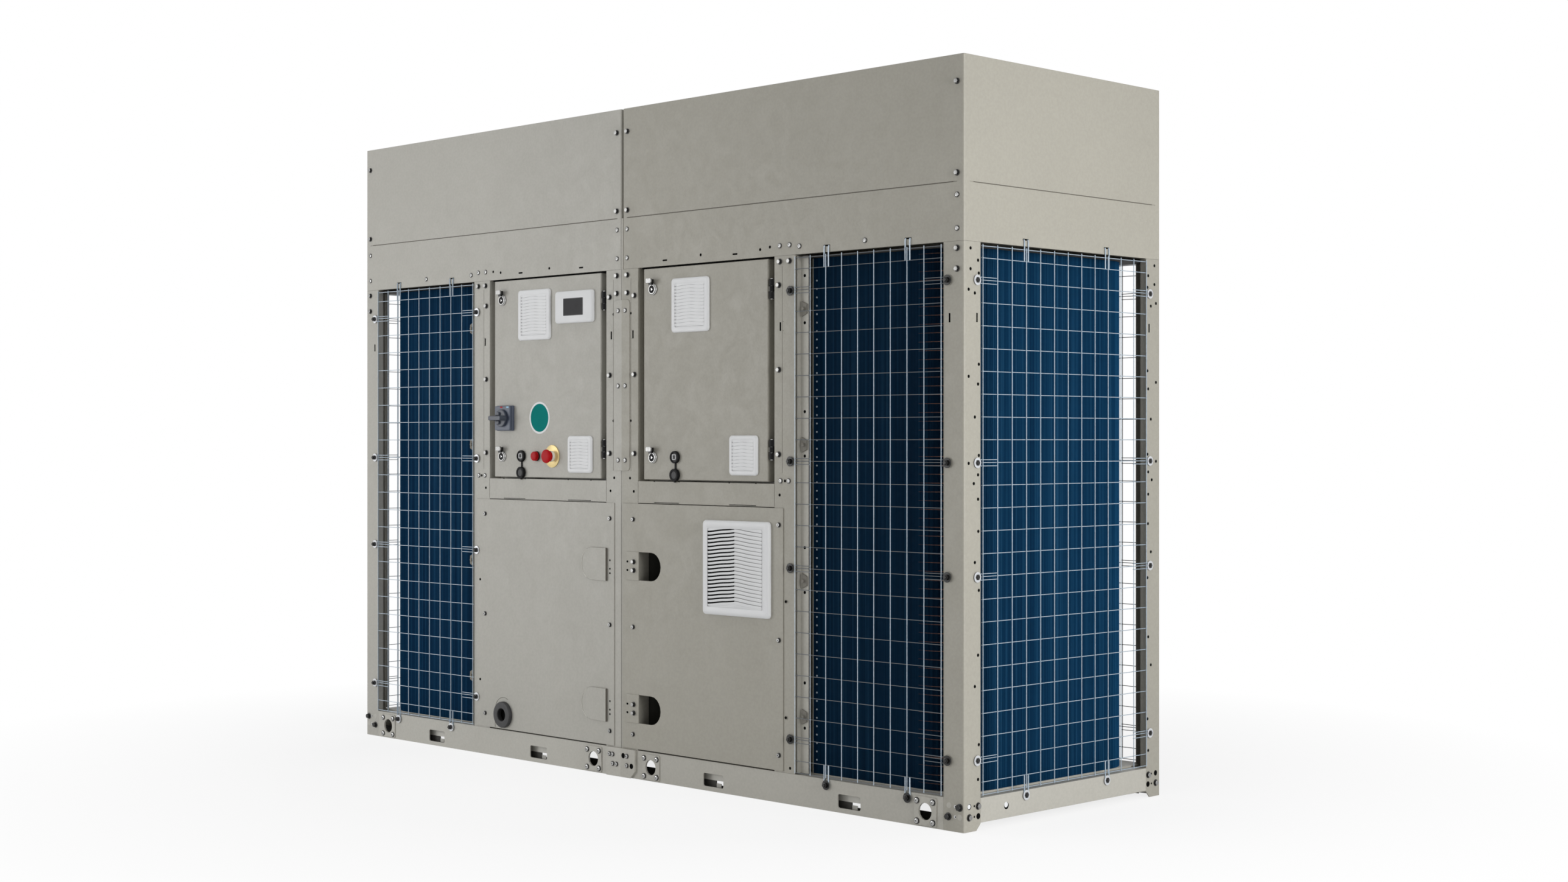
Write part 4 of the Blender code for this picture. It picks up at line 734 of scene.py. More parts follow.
def coils():
    for key, side in SIDES.items():
        node = "coil_" + key
        shown = side > 0
        low, high = (corner.z for corner in box(node))
        fins, front_fins, core, tubes, glints, far_glints, ends, dots = meshes(8)
        for point, out in coil_path(side, 0.0, FIN_PITCH):
            bm = front_fins if out.y < -0.9 else fins
            along = Vector((-out.y, out.x)) * FIN_THICKNESS / 2
            back = point - out * COIL_DEPTH
            outline = (point + along, point - along, back - along, back + along)
            skin(bm, [ring(bm, WORLD, outline, z) for z in (low, high)], True)
        for name, bm in (("coil_fins_", fins), ("coil_front_fins_", front_fins)):
            bmesh.ops.recalc_face_normals(bm, faces=bm.faces)
            # The right coil's front fins take the darker blue: painted shade.
            look = "coil_shaded_blue" if bm is front_fins and shown else None
            piece(name + key, bm, "coil_blue", look, replaces=[node])

        # Dark sheet inside the coil behind the fins: painted shade of the coil's depth.
        path = [point for point, _ in coil_path(side, CORE_SETBACK, 20)]
        lower, upper = (ring(core, WORLD, path, z) for z in (low, high))
        for i in range(len(path) - 1):
            core.faces.new((lower[i], lower[i + 1], upper[i + 1], upper[i]))
        sheet = piece("coil_shade_core_" + key, core, "coil_blue", "coil_shade_core")
        sheet.modifiers.new("thickness", "SOLIDIFY").thickness = 0.001

        outer = [point for point, _ in coil_path(side, TUBE_SETBACK, 30)]
        # Thin tubes just behind the fins' face at the bends stand in for glints of the copper: painted glint, thicker
        # and brighter on the right coil's front bend.
        near_face = coil_path(side, 2.2, 12)
        bend = [p for p, out in near_face if abs(p.x) > HALF_WIDTH - COIL_BEND - 70 and out.y < -0.30]
        other = [p for p, out in near_face if abs(out.x) > 0.05 and out.y > 0.30]
        for level in levels_down(high - 11, low, TUBE_PITCH):
            for bm, line, radius in ((tubes, outer, TUBE_RADIUS), (glints, bend, 1.2 if shown else 1.0),
                                     (far_glints, other, 1.0)):
                add_tube(bm, WORLD, [(p.x, p.y, level) for p in line], radius, 6)
        piece("coil_tubes_" + key, tubes, "chrome", "copper")
        piece("coil_bend_glint_tubes_" + key, glints, "chrome", "copper" if shown else "dim_glint_copper")
        piece("coil_rear_bend_glint_tubes_" + key, far_glints, "chrome", "dim_glint_copper")

        for edge, inward in EDGES:
            face_y = edge + inward * COIL_SETBACK
            back = face_y + inward * COIL_DEPTH
            for near, far, y0, y1 in ((22, 23.6, face_y, back), (22, 24.5, face_y - inward * 1.2, face_y),
                                      (0.5, 22, back - inward * 1.5, back)):
                add_box(ends, WORLD, side * (PARTITION + near), side * (PARTITION + far), y0, y1, low, high)
            for level in levels_down(high - 58, low + 20, TUBE_PITCH):
                face = face_frame((side * (PARTITION + 36.5), face_y, level), (inward, 0, 0))
                add_turned(dots, face, [(2.6, 0), (2.4, 0.6), (0, 0.8)], 10)
        piece("coil_end_plates_" + key, ends, "panel_paint")
        piece("coil_tube_ends_" + key, dots, "zinc_wire")


coils()


# ---- Wire guards with their clips ----

def wire_rows():
    """Levels of a guard's level wires: evenly spaced between closer ones at the foot and head."""
    rows = [BASE_TOP + 5, 116]
    level = 171.5
    while level < SECOND_ROW - WIRE_STEP / 2:
        rows.append(level)
        level += WIRE_STEP
    return rows + [SECOND_ROW, HOOD_BOTTOM - 9]


def wire_guard(name, key, low, high, wires, hooks):
    """Welded wire guard between two posts, given by the opening's edges in the face's frame."""
    face = FACES[key]
    wire, cross, washers, fixings = meshes(4)
    a, b = low + WIRE_MARGIN, high - WIRE_MARGIN
    bottom, top = BASE_TOP + 3.5, HOOD_BOTTOM - 5
    front, middle, back = 4.1, 2.0, 0.9
    thin = name == "guard_front_right"
    for i in range(wires):
        u = a + (b - a) * i / (wires - 1)
        add_tube(wire, face, [(u, bottom, front), (u, top, front)], VERTICAL_WIRE * (0.85 if thin else 1.0))
    for level in wire_rows():
        add_tube(cross, face, [(a - 1, level, back), (b + 1, level, back)], CROSS_WIRE)
    for level in CLIP_LEVELS:
        for edge, inward in ((low, 1), (high, -1)):
            bolt_u = edge - inward * CLIP_OVER_POST
            far = edge + inward * (CLIP_LENGTH - CLIP_OVER_POST)
            bow = [(bolt_u - inward * (u - bolt_u), v) for u, v in circle(CLIP_HALF, 16, bolt_u, level, -4, 4)]
            loop = [(far, level + CLIP_HALF), *bow[::-1], (far, level - CLIP_HALF)]
            add_tube(cross, face, [(u, v, middle) for u, v in loop], CROSS_WIRE)
            stud(washers, fixings, seat(key, bolt_u, level, STUD_BASE, STUD_REACH - STUD_BASE))
    for u in hooks:
        for leg in (u - CLIP_HALF, u + CLIP_HALF):
            add_tube(wire, face, [(leg, SECOND_ROW, 2), (leg, HOOD_BOTTOM + 10, 2.4), (leg, HOOD_BOTTOM + 14.5, 1.6),
                                  (leg, HOOD_BOTTOM + 16, 0)], THICK_WIRE)
            add_tube(wire, face, [(leg, 116, middle), (leg, HOOK_FOOT, middle)], THICK_WIRE)
        arc = circle(CLIP_HALF, 16, u, HOOK_FOOT, -8, 0)[::-1]
        add_tube(wire, face, [(u, v, middle) for u, v in arc], THICK_WIRE)
        stud(washers, fixings, seat(key, u, HOOK_FOOT, STUD_BASE, STUD_REACH - STUD_BASE))
    # Guards differ in wire, level-wire and washer looks: lighter and darker copies of one zinc, painted light and
    # shade.
    wire_look, cross_look, washer_look = "shaded_wire", "zinc_wire", "shaded_zinc"
    if key == "rear":
        wire_look = cross_look = "shaded_rear_wire"
    elif thin:
        wire_look, cross_look = "zinc_wire", "cross_wire"
    else:
        washer_look = "lit_zinc"
        cross_look = "zinc_wire" if key == "front" else "shaded_wire"
    piece(name + "_wires", wire, "zinc_wire", wire_look, replaces=[name])
    piece(name + "_cross_wires", cross, "zinc_wire", cross_look)
    piece(name + "_washers", washers, "chrome", washer_look)
    piece(name + "_studs", fixings, "chrome", "shaded_zinc")


def stud(washers, bm, matrix):
    """Washer, nut and stud end that hold a guard's clip."""
    add_turned(washers, at(matrix, 0, 0, 0.5), [(0, 0), (12.5, 0), (12.8, 0.8), (11.8, 1.6), (6, 1.8), (0, 1.8)], 28)
    add_turned(bm, at(matrix, 0, 0, 2.2), [(0, 0), (7.6, 0), (7.6, 5), (6.6, 5.6), (0, 5.6)], 6)
    add_turned(bm, at(matrix, 0, 0, 7), [(0, 0), (4.6, 0), (4.6, 3.5), (3.8, 4.5), (0, 4.5)], 16)


def wire_guards():
    slots = bmesh.new()
    for key, side in SIDES.items():
        near = box("middle_post_front_left")[0].x if side < 0 else box("middle_post_rear_right")[1].x
        low, high = sorted((side * abs(near), side * (HALF_WIDTH - 65)))
        hooks = (side * 799, side * 1076.5)
        wire_guard("guard_front_" + key, "front", low, high, FRONT_WIRES, hooks)
        wire_guard("guard_rear_" + key, "rear", -high, -low, FRONT_WIRES, [-u for u in hooks])
        ends = sorted((side * (FRONT + 62), side * (REAR - 62)))
        end_hooks = [side * (FRONT + REAR) / 2 + u for u in (-166.5, 166.5)]
        wire_guard("guard_end_" + key, key, *ends, END_WIRES, end_hooks)
        for place, us in (("front", hooks), ("rear", [-u for u in hooks]), (key, end_hooks)):
            for u in us:
                add_plate(slots, at(FACES[place], u, HOOD_BOTTOM + 16.5), 11, 2, 0, 0.2)
    piece("guard_hook_slots", slots, "black_rubber", "gap_shade")


wire_guards()


# ---- Louvred filter covers ----

def louvre_cover(name, body, count, rise, field_share, slitted=False):
    """Moulded cover: a round-edged frame with chevron louvres, and strips under them painted dark and grey as the
    shade of the slits between them.
    """
    low, high = box(name)
    half, depth = (high.x - low.x) / 2, high.y - low.y
    face = face_frame(((low.x + high.x) / 2, high.y, (low.z + high.z) / 2))
    field = half * field_share
    plastic, lines, thin = meshes(3)
    rings = [ring(plastic, face, rounded(reach, reach, corner), height) for reach, height, corner in (
        (half, 0.0, 10), (half, depth * 0.45, 10), (half - depth * 0.12, depth * 0.78, 10),
        (half - depth * 0.45, depth * 0.98, 9), (half - depth * 0.8, depth, 8), (field, depth, 3),
        (field - 0.5, depth * 0.96, 3), (field - 0.5, depth * 0.25, 3))]
    skin(plastic, rings)
    pitch = 2 * field / count
    for i in range(-1, count + 2):
        add_louvre(plastic, face, pitch * i - field, pitch, rise, field, depth, 1.0 if slitted else 0.6)
    for i in range(1, count):
        base = pitch * i - field
        if slitted:
            add_slit(lines, face, base, rise, field * 0.985, depth * 0.97, (-1.0, 0.0), (4.2, 3.4))
            add_slit(thin, face, base, rise, field * 0.985, depth * 0.97, (0.0, 1.0), (1.8, 1.2))
        else:
            add_slit(lines, face, base, rise, field, depth * 0.985, (-0.97, 0.90), (1.9, 0.6))
    for bm in (plastic, lines, thin):
        bmesh.ops.recalc_face_normals(bm, faces=bm.faces)
    piece(name + "_cover", plastic, "white_plastic", None, body, [name], angle=50)
    piece(name + "_slits", lines, "white_plastic", "gap_shade" if slitted else "slat_shade_grey", body)
    if slitted:
        piece(name + "_far_slits", thin, "white_plastic", "slit_shade_grey", body)
    else:
        thin.free()


def add_slit(bm, face, base, rise, reach, height, span, thickness):
    """Thin strip of painted shade along a louvre's lower edge, from one share of the field's half width to another.
    """
    steps = 12
    rows = []
    for step in range(steps + 1):
        share = span[0] + (span[1] - span[0]) * step / steps
        half = (thickness[0] + (thickness[1] - thickness[0]) * step / steps) / 2
        level = base + rise * (1 - abs(share)) + 0.4 * math.sin(share * 9)
        rows.append(ring(bm, face, [(reach * share, level + half), (reach * share, level - half)], height))
    for near, far in zip(rows, rows[1:]):
        bm.faces.new((near[0], far[0], far[1], near[1]))


def add_louvre(bm, face, base, pitch, rise, field, depth, relief):
    """One slat bent up at the middle, tilted so that its outer edge is the lower one."""
    back, front = depth * (1 - 0.11 * relief), depth * (1 - 0.04 * relief)
    section = ((pitch, back), (pitch * 1.02, back + depth * 0.06), (0.14 * pitch, front), (0.0, front - depth * 0.06),
               (0.0, front - depth * 0.16))
    rings = []
    for share in (-1.0, -0.5, 0.0, 0.5, 1.0):
        lift = rise * (1 - abs(share))
        points = []
        for v, w in section:
            if abs(share) == 1:
                w = max(w, depth * (1 - 0.03 * relief))
            height = min(max(base + lift + v, -field), field)
            points += ring(bm, face, [(field * share, height)], w)
        rings.append(points)
    skin(bm, rings)


for key in SIDES:
    louvre_cover("filter_upper_" + key, f"door_{key}_leaf", 13, 4, 0.80)
    louvre_cover("filter_lower_" + key, f"door_{key}_leaf", 9, 3, 0.78)
louvre_cover("filter_panel", "cabinet", 21, 10, 0.835, True)


# ---- Door fittings ----

def on_door(node):
    """Frame on the door's face behind a fitting, with the fitting's half width, half height and reach."""
    low, high = box(node)
    face = face_frame(((low.x + high.x) / 2, FRONT, (low.z + high.z) / 2))
    return face, (high.x - low.x) / 2, (high.z - low.z) / 2, FRONT - low.y


def main_switch():
    face, _, _, depth = on_door("switch_plate")
    leaf = "door_left_leaf"
    half = 37.5
    plate, knob, tip = meshes(3)
    add_prism(plate, face, rounded(half, half, 4), 0.3, depth * 0.55)
    add_prism(plate, face, rounded(half - 1.5, half - 1.5, 4), depth * 0.55, depth)
    add_turned(plate, face, [(27.5, depth - 1), (29, depth + 0.1), (30.5, depth - 1)], 48)
    piece("switch_base", plate, "dark_plastic", None, leaf, ["switch_plate"], 1.2)
    for name, u, look in (("off", -4, "red_lens"), ("on", 25.5, "pale_blue")):
        mark = bmesh.new()
        add_prism(mark, at(face, u, 32.5, depth), rounded(5.5, 2.2, 1.2, 3), 0.0, 0.3)
        piece("switch_mark_" + name, mark, "white_plastic", look, leaf)

    dial, crest = depth + 0.6, on_door("switch_handle")[3]
    add_turned(knob, face, [(0, dial), (25.5, dial), (26, dial + 1), (25.8, dial + 6.2), (24.5, dial + 7.8),
                            (0, dial + 7.8)], 40)
    outline = [(-28, -4), (-26.5, -7.8), (26.5, -7.8), (28, -4), (28, 4), (26.5, 7.8), (-26.5, 7.8), (-28, 4)]
    rings = [ring(knob, face, [(u, v * squeeze) for u, v in outline], height)
             for height, squeeze in ((dial + 6, 1.0), (dial + 16, 0.92), (crest - 3, 0.86), (crest, 0.74))]
    skin(knob, rings)
    knob.faces.new(rings[-1])
    for tilt in (-1, 1):
        wing = [(-21, tilt * 8.5), (0, tilt * 8.5), (0, tilt * 16.5), (-10, tilt * 19.5)]
        add_prism(knob, face, wing, dial + 7, dial + 13)
    piece("switch_knob_grip", knob, "dark_plastic", "knob_plastic", "switch_knob", ["switch_handle"], 0.8)
    add_box(tip, face, -28.5, -26.8, -3.4, 3.4, crest - 10, crest - 2)
    piece("switch_pointer", tip, "white_plastic", body="switch_knob")


def emergency_stop():
    face = on_door("stop_collar")[0]
    front = on_door("stop_button")[3]
    plate, collar, head = meshes(3)
    add_turned(plate, face, [(0, 0.3), (32.6, 0.3), (33, 0.8), (32.8, 2.4), (32, 2.8), (0, 2.8)], 64)
    piece("stop_plate", plate, "yellow_plate", None, "door_left_leaf", ["stop_collar"])
    add_turned(collar, face, [(15.6, 2.8), (15.9, 4), (15.8, 10.8), (15.5, 11.7), (15.1, 11.7), (15.1, 2.8),
                              (15.6, 2.8)], 48)
    piece("stop_neck", collar, "yellow_plate", "pale_collar", "door_left_leaf")
    add_turned(head, face, [(0, 10), (14, 10), (14.6, 11.2), (14.8, 17), (13.6, front - 13.5), (14, front - 11.5),
                            (18.5, front - 9), (19.9, front - 7.2), (20, front - 4.8), (19.2, front - 2.8),
                            (16.5, front - 1.4), (11, front - 0.4), (0, front)], 56)
    piece("stop_head_cap", head, "red_plastic", None, "stop_head", ["stop_button"])


def signal_lamp():
    face, _, _, depth = on_door("lamp")
    lens, rim = meshes(2)
    add_turned(rim, face, [(0, 0.3), (14.5, 0.3), (14.5, 3.6), (13.8, 4.2), (0, 4.2)], 40)
    piece("lamp_ring", rim, "black_rubber", body="door_left_leaf")
    add_turned(lens, face, [(0, 4), (13.6, 4), (13.6, depth - 4), (12.8, depth - 1.8), (10, depth - 0.5),
                            (0, depth)], 40)
    piece("lamp_lens", lens, "red_plastic", "red_lens", "door_left_leaf", ["lamp"])


def service_sockets():
    for key in SIDES:
        node, leaf = "service_socket_" + key, f"door_{key}_leaf"
        face, _, half_height, _ = on_door(node)
        face = at(face, 0, half_height - 17)
        drop = 49
        cap = at(face, 0, -drop)
        rubber, port, rim = meshes(3)
        add_turned(rubber, face, [(0, 0.3), (17, 0.3), (17.2, 2), (16.8, 7.2), (15.8, 8.5), (13, 8.5), (12.4, 6),
                                  (0, 6)], 40)
        add_prism(rubber, face, [(-2.8, 10 - drop), (2.8, 10 - drop), (2.5, -15), (-2.5, -15)], 0.6, 2.6)
        add_turned(rubber, cap, [(0, 0.6), (17.2, 0.6), (17.6, 2.2), (17.2, 8.8), (16, 10), (11.2, 10), (10.4, 8.6),
                                 (0, 8.4)], 40)
        add_prism(rubber, cap, rounded(3.2, 2, 1.5, 3, 0, -18.5), 2, 5)
        piece("socket_body_" + key, rubber, "black_rubber", None, leaf, [node])
        inside = [(-5.8, -5.4), (5.8, -5.4), (5.8, 5.4), (-5.8, 5.4)]
        add_prism(rim, at(face, 0, 0.5), rounded(7.5, 7, 0.8, 2), 6, 7.8, [inside])
        piece("socket_frame_" + key, rim, "white_plastic", body=leaf)
        add_disc(port, at(face, 0, 0, 6.1), 12.2, 28)
        add_turned(port, cap, [(10.2, 8.6), (0, 8.8)], 28)
        piece("socket_inserts_" + key, port, "black_rubber", "grey_rubber", leaf)


def latches():
    for node in [f"latch_{level}_{key}" for key in SIDES for level in ("lower", "upper")]:
        body = node + "_body"
        face, _, half_height, reach = on_door(node)
        face = at(face, 0, 16 - half_height)
        metal, neck, core, handle, key_stud = meshes(5)
        add_turned(metal, face, [(0, 0.3), (16, 0.3), (16.1, 2), (15, 3.4), (13.8, 3.6), (13.6, 6), (13, 7),
                                 (10.8, 7), (10.4, 5), (0, 5)], 40)
        outline = [(-7.5, 9), (7.5, 9), (9, 25), (-9, 25)]
        skin(neck, [ring(neck, face, [(u * grow, v + slide) for u, v in outline], w)
                    for w, grow, slide in ((3, 0.6, 3), (8, 0.6, 3), (reach - 6, 0.8, 2))], True)
        # Neck in the dark zinc: painted shade.
        piece(node + "_neck", neck, "chrome", "shaded_zinc", body, soften=0.6)
        add_prism(handle, face, rounded(11, 6.75, 4.2, 5, 0, 23.25), reach - 5, reach)
        piece(node + "_handle", handle, "chrome", "bolt_zinc", body, soften=0.8)
        for du in (-6.2, 6.2):
            add_turned(metal, at(face, du, 12.8, 3), [(0, 0), (3, 0), (3, 3.6), (0, 4.4)], 12)
        piece(node + "_lever", metal, "chrome", None, body, [node], 0.8)
        add_turned(core, face, [(10.3, 6), (9.6, 6), (9.2, 5.2), (0, 5.2)], 28)
        piece(node + "_keyway", core, "black_rubber", body=body)
        add_turned(key_stud, face, [(5, 5.2), (4.8, 6.6), (0, 6.8)], 3)
        piece(node + "_key_stud", key_stud, "chrome", body=body)


def display_unit():
    face, half_u, half_v, depth = on_door("display")
    case, bezel, glass = meshes(3)
    rings = [ring(case, face, rounded(half_u - shrink, half_v - shrink, 9), height)
             for shrink, height in ((0, 0.3), (0, depth * 0.55), (1.2, depth * 0.85), (4, depth))]
    skin(case, rings)
    case.faces.new(rings[-1])
    piece("display_case", case, "white_plastic", None, "door_left_leaf", ["display"], angle=50)
    screen = rounded(42, 23, 1, 2)
    add_prism(bezel, face, rounded(44, 25, 2, 3), depth - 1, depth + 0.4, [screen])
    piece("display_bezel", bezel, "white_plastic", "grey_rubber", "door_left_leaf")
    add_prism(glass, face, screen, depth - 1, depth + 0.2)
    piece("display_screen", glass, "dark_plastic", "screen_glass", "door_left_leaf")


def round_label():
    face = at(FRONT_FACE, -370, 1012)
    rim, disc = meshes(2)
    add_turned(rim, face, [(47, 0), (47, 0.3), (41.2, 0.3), (41.2, 0)], 72)
    piece("label_rim", rim, "white_plastic", body="door_left_leaf")
    add_turned(disc, face, [(41.2, 0), (41.2, 0.25), (0, 0.25)], 72)
    piece("label_disc", disc, "white_plastic", "teal_label", "door_left_leaf")


def hinge_covers():
    """Black leaves and knuckles over each hinge, with a steel pin."""
    for key in SIDES:
        joint = next(item for item in frame["joints"] if item["name"] == f"door_{key}_hinge")
        x, y = (place * 1000 for place in joint["pos_m"][:2])
        door_edge = box("door_" + key)[1].x - 11
        for level in (921, 1343):
            fixed, moving, pin = meshes(3)
            up = upward(x, y, level)
            for low, high in ((-26, -8.3), (8.3, 26)):
                add_barrel(fixed, up, 8, low, high, 20)
                add_box(fixed, up, 0, 13.5, -3.6, 3.6, low, high)
            add_barrel(moving, up, 8, -7.6, 7.6, 20)
            add_box(moving, up, door_edge - x, 0, -3.6, 3.6, -7.6, 7.6)
            for low, high in ((-27.5, -25.8), (-8.5, -7.4), (7.4, 8.5), (25.8, 27.5)):
                add_barrel(pin, up, 4.6, low, high, 16)
            piece(f"hinge_post_leaf_{key}_{level}", fixed, "black_rubber", soften=0.5)
            piece(f"hinge_door_leaf_{key}_{level}", moving, "black_rubber", body=f"door_{key}_leaf")
            piece(f"hinge_pin_{key}_{level}", pin, "chrome")


main_switch()
emergency_stop()
signal_lamp()
service_sockets()
latches()
display_unit()
round_label()
hinge_covers()


# ---- Sill lines, sheet edges, the seam and the hoods' slits ----

def sheet_lines():
    """Slits of the folded sheet and gaps above the doors painted dark as shade, the sheets' edges, and the filler in
    the seam of the modules.
    """
    dark, seam, edges, slit = meshes(4)
    for side in (-1, 1):
        for near in (187, 488.5):
            add_plate(dark, at(FRONT_FACE, side * near, 773.5), 51, 0.8, 0, 0.4)
            for du in (-51, 51):
                add_plate(dark, at(FRONT_FACE, side * near + du, 832), 2.2, 1.2, 0, 0.3)
        add_box(dark, FRONT_FACE, side * 70, side * 606, 767.3, 768.8, 0, 0.3)
    # Dark strips in the gap above each door: painted shade of the recess.
    for key in SIDES:
        low, high = box("door_" + key)
        add_box(dark, FRONT_FACE, low.x - 12, high.x + 12, high.z + 0.6, HOOD_BOTTOM - 0.6, -10, -4)
    piece("fold_slits", dark, "black_rubber", "gap_shade")
    for face in (FRONT_FACE, FACES["rear"]):
        add_box(seam, face, -3.8, 3.8, BASE_TOP, SLIT_LEVEL, -3, -1.2)
        add_box(seam, face, -3.8, 3.8, SLIT_LEVEL, HEIGHT - 1, -12, -10)
        for u in (-638, -38, 38, 638):
            add_box(edges, face, u - 0.5, u + 0.5, 860, 1400, 0, 0.25)
            for v in (1231, 1254.5):
                add_box(edges, face, u - 0.5, u + 6, v, v + 1, 0, 0.25)
        for u in (-609, -68, 68, 609):
            add_box(edges, face, u - 0.6, u + 0.6, 773.5, 834, 0, 0.25)
        for side in (-1, 1):
            add_box(slit, face, side * 20, side * (HALF_WIDTH - 34), SLIT_LEVEL - 0.8, SLIT_LEVEL + 0.8, 0, 0.2)
    for key, near in ENDS:
        add_box(slit, FACES[key], near * (FRONT + 36), near * (REAR - 36), SLIT_LEVEL - 0.8, SLIT_LEVEL + 0.8, 0, 0.2)
    piece("hood_slits", slit, "panel_paint", "slit_shadow")
    piece("seam_filler", seam, "panel_paint")
    piece("flange_edges", edges, "panel_paint", "fold_shadow")


sheet_lines()


# ---- Fans: guard, motor and blades ----

def fans():
    for key in SIDES:
        node = "fan_guard_" + key
        low, high = box(node)
        x, y, rim = (low.x + high.x) / 2, (low.y + high.y) / 2, (high.x - low.x) / 2
        up = upward(x, y, low.z)
        deck = high.z - 6 - low.z
        wire, motor = meshes(2)
        radius = 112
        while radius < rim - 4:
            add_tube(wire, up, [(u, v, deck + 2) for u, v in circle(radius, 56)], 1.6, 6, True)
            radius += 14.5
        for (u0, v0), (u1, v1) in zip(circle(95, 8), circle(rim - 4, 8)):
            add_tube(wire, up, [(u0, v0, deck + 4.2), (u1, v1, deck + 4.2)], THICK_WIRE)
        piece(node + "_wires", wire, "zinc_wire", replaces=[node])
        add_turned(motor, up, [(0, 0), (80, 0), (85, 4), (85, deck - 4), (100, deck - 3), (100, deck + 1),
                               (60, deck + 3.5), (56, deck + 5.2), (0, deck + 5.5)], 48)
        for i in range(24):
            rib = up @ Matrix.Rotation(2 * math.pi * i / 24, 4, "Z")
            add_box(motor, rib, 80, 93, -1.1, 1.1, 6, deck - 4)
        piece("fan_motor_" + key, motor, "chrome", "cast_grey", soften=0.6)
        fan_blades(key, x, y)


def fan_blades(key, x, y):
    """Sickle blades and hub, finer than the frame's and inside its outline."""
    low, high = box("fan_" + key)
    rotor = bmesh.new()
    up = upward(x, y, low.z)
    height = high.z - low.z
    add_turned(rotor, up, [(0, 4), (85, 2), (100, 6), (105, 14), (105, height - 4), (101, height), (0, height)], 56)
    stations, chord, root, tip = 14, 10, 99, 344.5
    for index in range(5):
        turn = 2 * math.pi * index / 5
        sheets = []
        for offset in (-0.5, 0.5):
            sheet = []
            for i in range(stations + 1):
                share = i / stations
                radius = root + (tip - root) * share
                width = math.radians(50 - 6 * share)
                lead = turn - math.radians(16) * share * share
                row = []
                for j in range(chord + 1):
                    along = j / chord
                    sweep = math.radians(7) * math.sin(math.pi * share) * (along - 0.5)
                    angle = lead + width * (along - 0.5) + sweep
                    arch = math.sin(math.pi * along)
                    level = (height / 2 + (83 - 34 * share) * (along - 0.5) + 10 * arch
                             + offset * 4.5 * max(0.25, arch ** 0.5))
                    row += ring(rotor, up, [(radius * math.cos(angle), radius * math.sin(angle))], level)
                sheet.append(row)
            sheets.append(sheet)
        lower, upper = sheets
        for i in range(stations):
            for j in range(chord):
                rotor.faces.new((upper[i][j], upper[i + 1][j], upper[i + 1][j + 1], upper[i][j + 1]))
                rotor.faces.new((lower[i][j + 1], lower[i + 1][j + 1], lower[i + 1][j], lower[i][j]))
            for j in (0, chord):
                rotor.faces.new((lower[i][j], lower[i + 1][j], upper[i + 1][j], upper[i][j]))
        for j in range(chord):
            rotor.faces.new((lower[-1][j], lower[-1][j + 1], upper[-1][j + 1], upper[-1][j]))
    bmesh.ops.recalc_face_normals(rotor, faces=rotor.faces)
    piece("fan_rotor_" + key, rotor, "fan_plastic", replaces=["fan_" + key])


fans()


# ---- Sheets beside the coils, and machine space behind the pipe holes ----

def gap_walls():
    """Folded sheet between the middle post and the coil's end, with holes and the coil's clamps."""
    sheet, holes, clamps, lips, shade_seals = meshes(5)
    u0, foot, head = PARTITION + 6, BASE_TOP + 4, HOOD_BOTTOM - 4
    for side in (-1, 1):
        for key in LONG_FACES:
            face = at(FACES[key], 0, 0, -12)
            sign = side if key == "front" else -side
            width = 29.5 if side > 0 else 17.5
            add_box(sheet, face, sign * u0, sign * (u0 + width), foot, head, -1.2, 0)
            add_box(sheet, face, sign * u0, sign * (u0 + 1.2), foot, head, -1.2, 12)
            for v in (1372, 1250, 1020, 905, 668, 552, 318, 201):
                add_disc(holes, at(face, sign * (u0 + 16), v, 0.1), 4.2, 16)
            for v in (1286, 934, 582, 230):
                outline = [(sign * (u0 + 8), -20), (sign * (u0 + 26), -12), (sign * (u0 + 26), 12),
                           (sign * (u0 + 8), 20)]
                add_prism(clamps, at(face, 0, v), outline, 0, 4)
                add_turned(clamps, at(face, sign * (u0 + 16), v, 4), [(0, 0), (5, 0), (5, 5), (0, 6)], 6)
    for key, side in SIDES.items():
        top = box("coil_" + key)[1].z
        add_box(lips, WORLD, side * (HALF_WIDTH - 35.2), side * (HALF_WIDTH - 2.2), FRONT + 60.8, FRONT + 62,
                BASE_TOP + 2, head)
        # Sheets over the coils' tops in the dark sheet colour: painted shade of the gap under the hood.
        for edge, inward in EDGES:
            add_box(shade_seals, WORLD, side * PARTITION, side * (HALF_WIDTH - 4), edge + inward * 4, edge + inward * 110,
                    top + 1, top + 2.2)
        add_box(shade_seals, WORLD, side * (HALF_WIDTH - 110), side * (HALF_WIDTH - 4), FRONT + 110, REAR - 110,
                top + 1, top + 2.2)
    # Lips on the corner posts in the lighter paint: painted light.
    piece("corner_post_lips", lips, "panel_paint", "highlight_paint")
    piece("coil_top_shade_seals", shade_seals, "panel_paint", "shade_sheet")
    # Sheets beside the coils in the lighter copy of the paint: painted light.
    piece("coil_side_sheets", sheet, "panel_paint", "lit_rail_paint")
    piece("coil_side_holes", holes, "black_rubber", "gap_shade")
    piece("coil_side_clamps", clamps, "panel_paint", "fold_shadow", soften=0.4)


def shade_sheets():
    """Dark sheet behind the pipe holes, painted shade, and the machine space's side beside them in a darker paint,
    also painted shade.
    """
    shade_sheet, sides = meshes(2)
    for side in (-1, 1):
        add_box(shade_sheet, WORLD, side * 20, side * 675, FRONT + 150, FRONT + 160, BASE_TOP + 6, 760)
    piece("machine_space_shade_sheet", shade_sheet, "panel_paint", "shade_sheet")
    for level in PIPE_LEVELS:
        add_box(sides, WORLD, 59, 60.2, FRONT + 6, FRONT + 98, level - 75, level + 75)
    piece("pipe_hole_side_shades", sides, "panel_paint", "hole_side_shade")


gap_walls()
shade_sheets()


# ---- Controls inside the electrical boxes, and stiffeners inside the doors ----

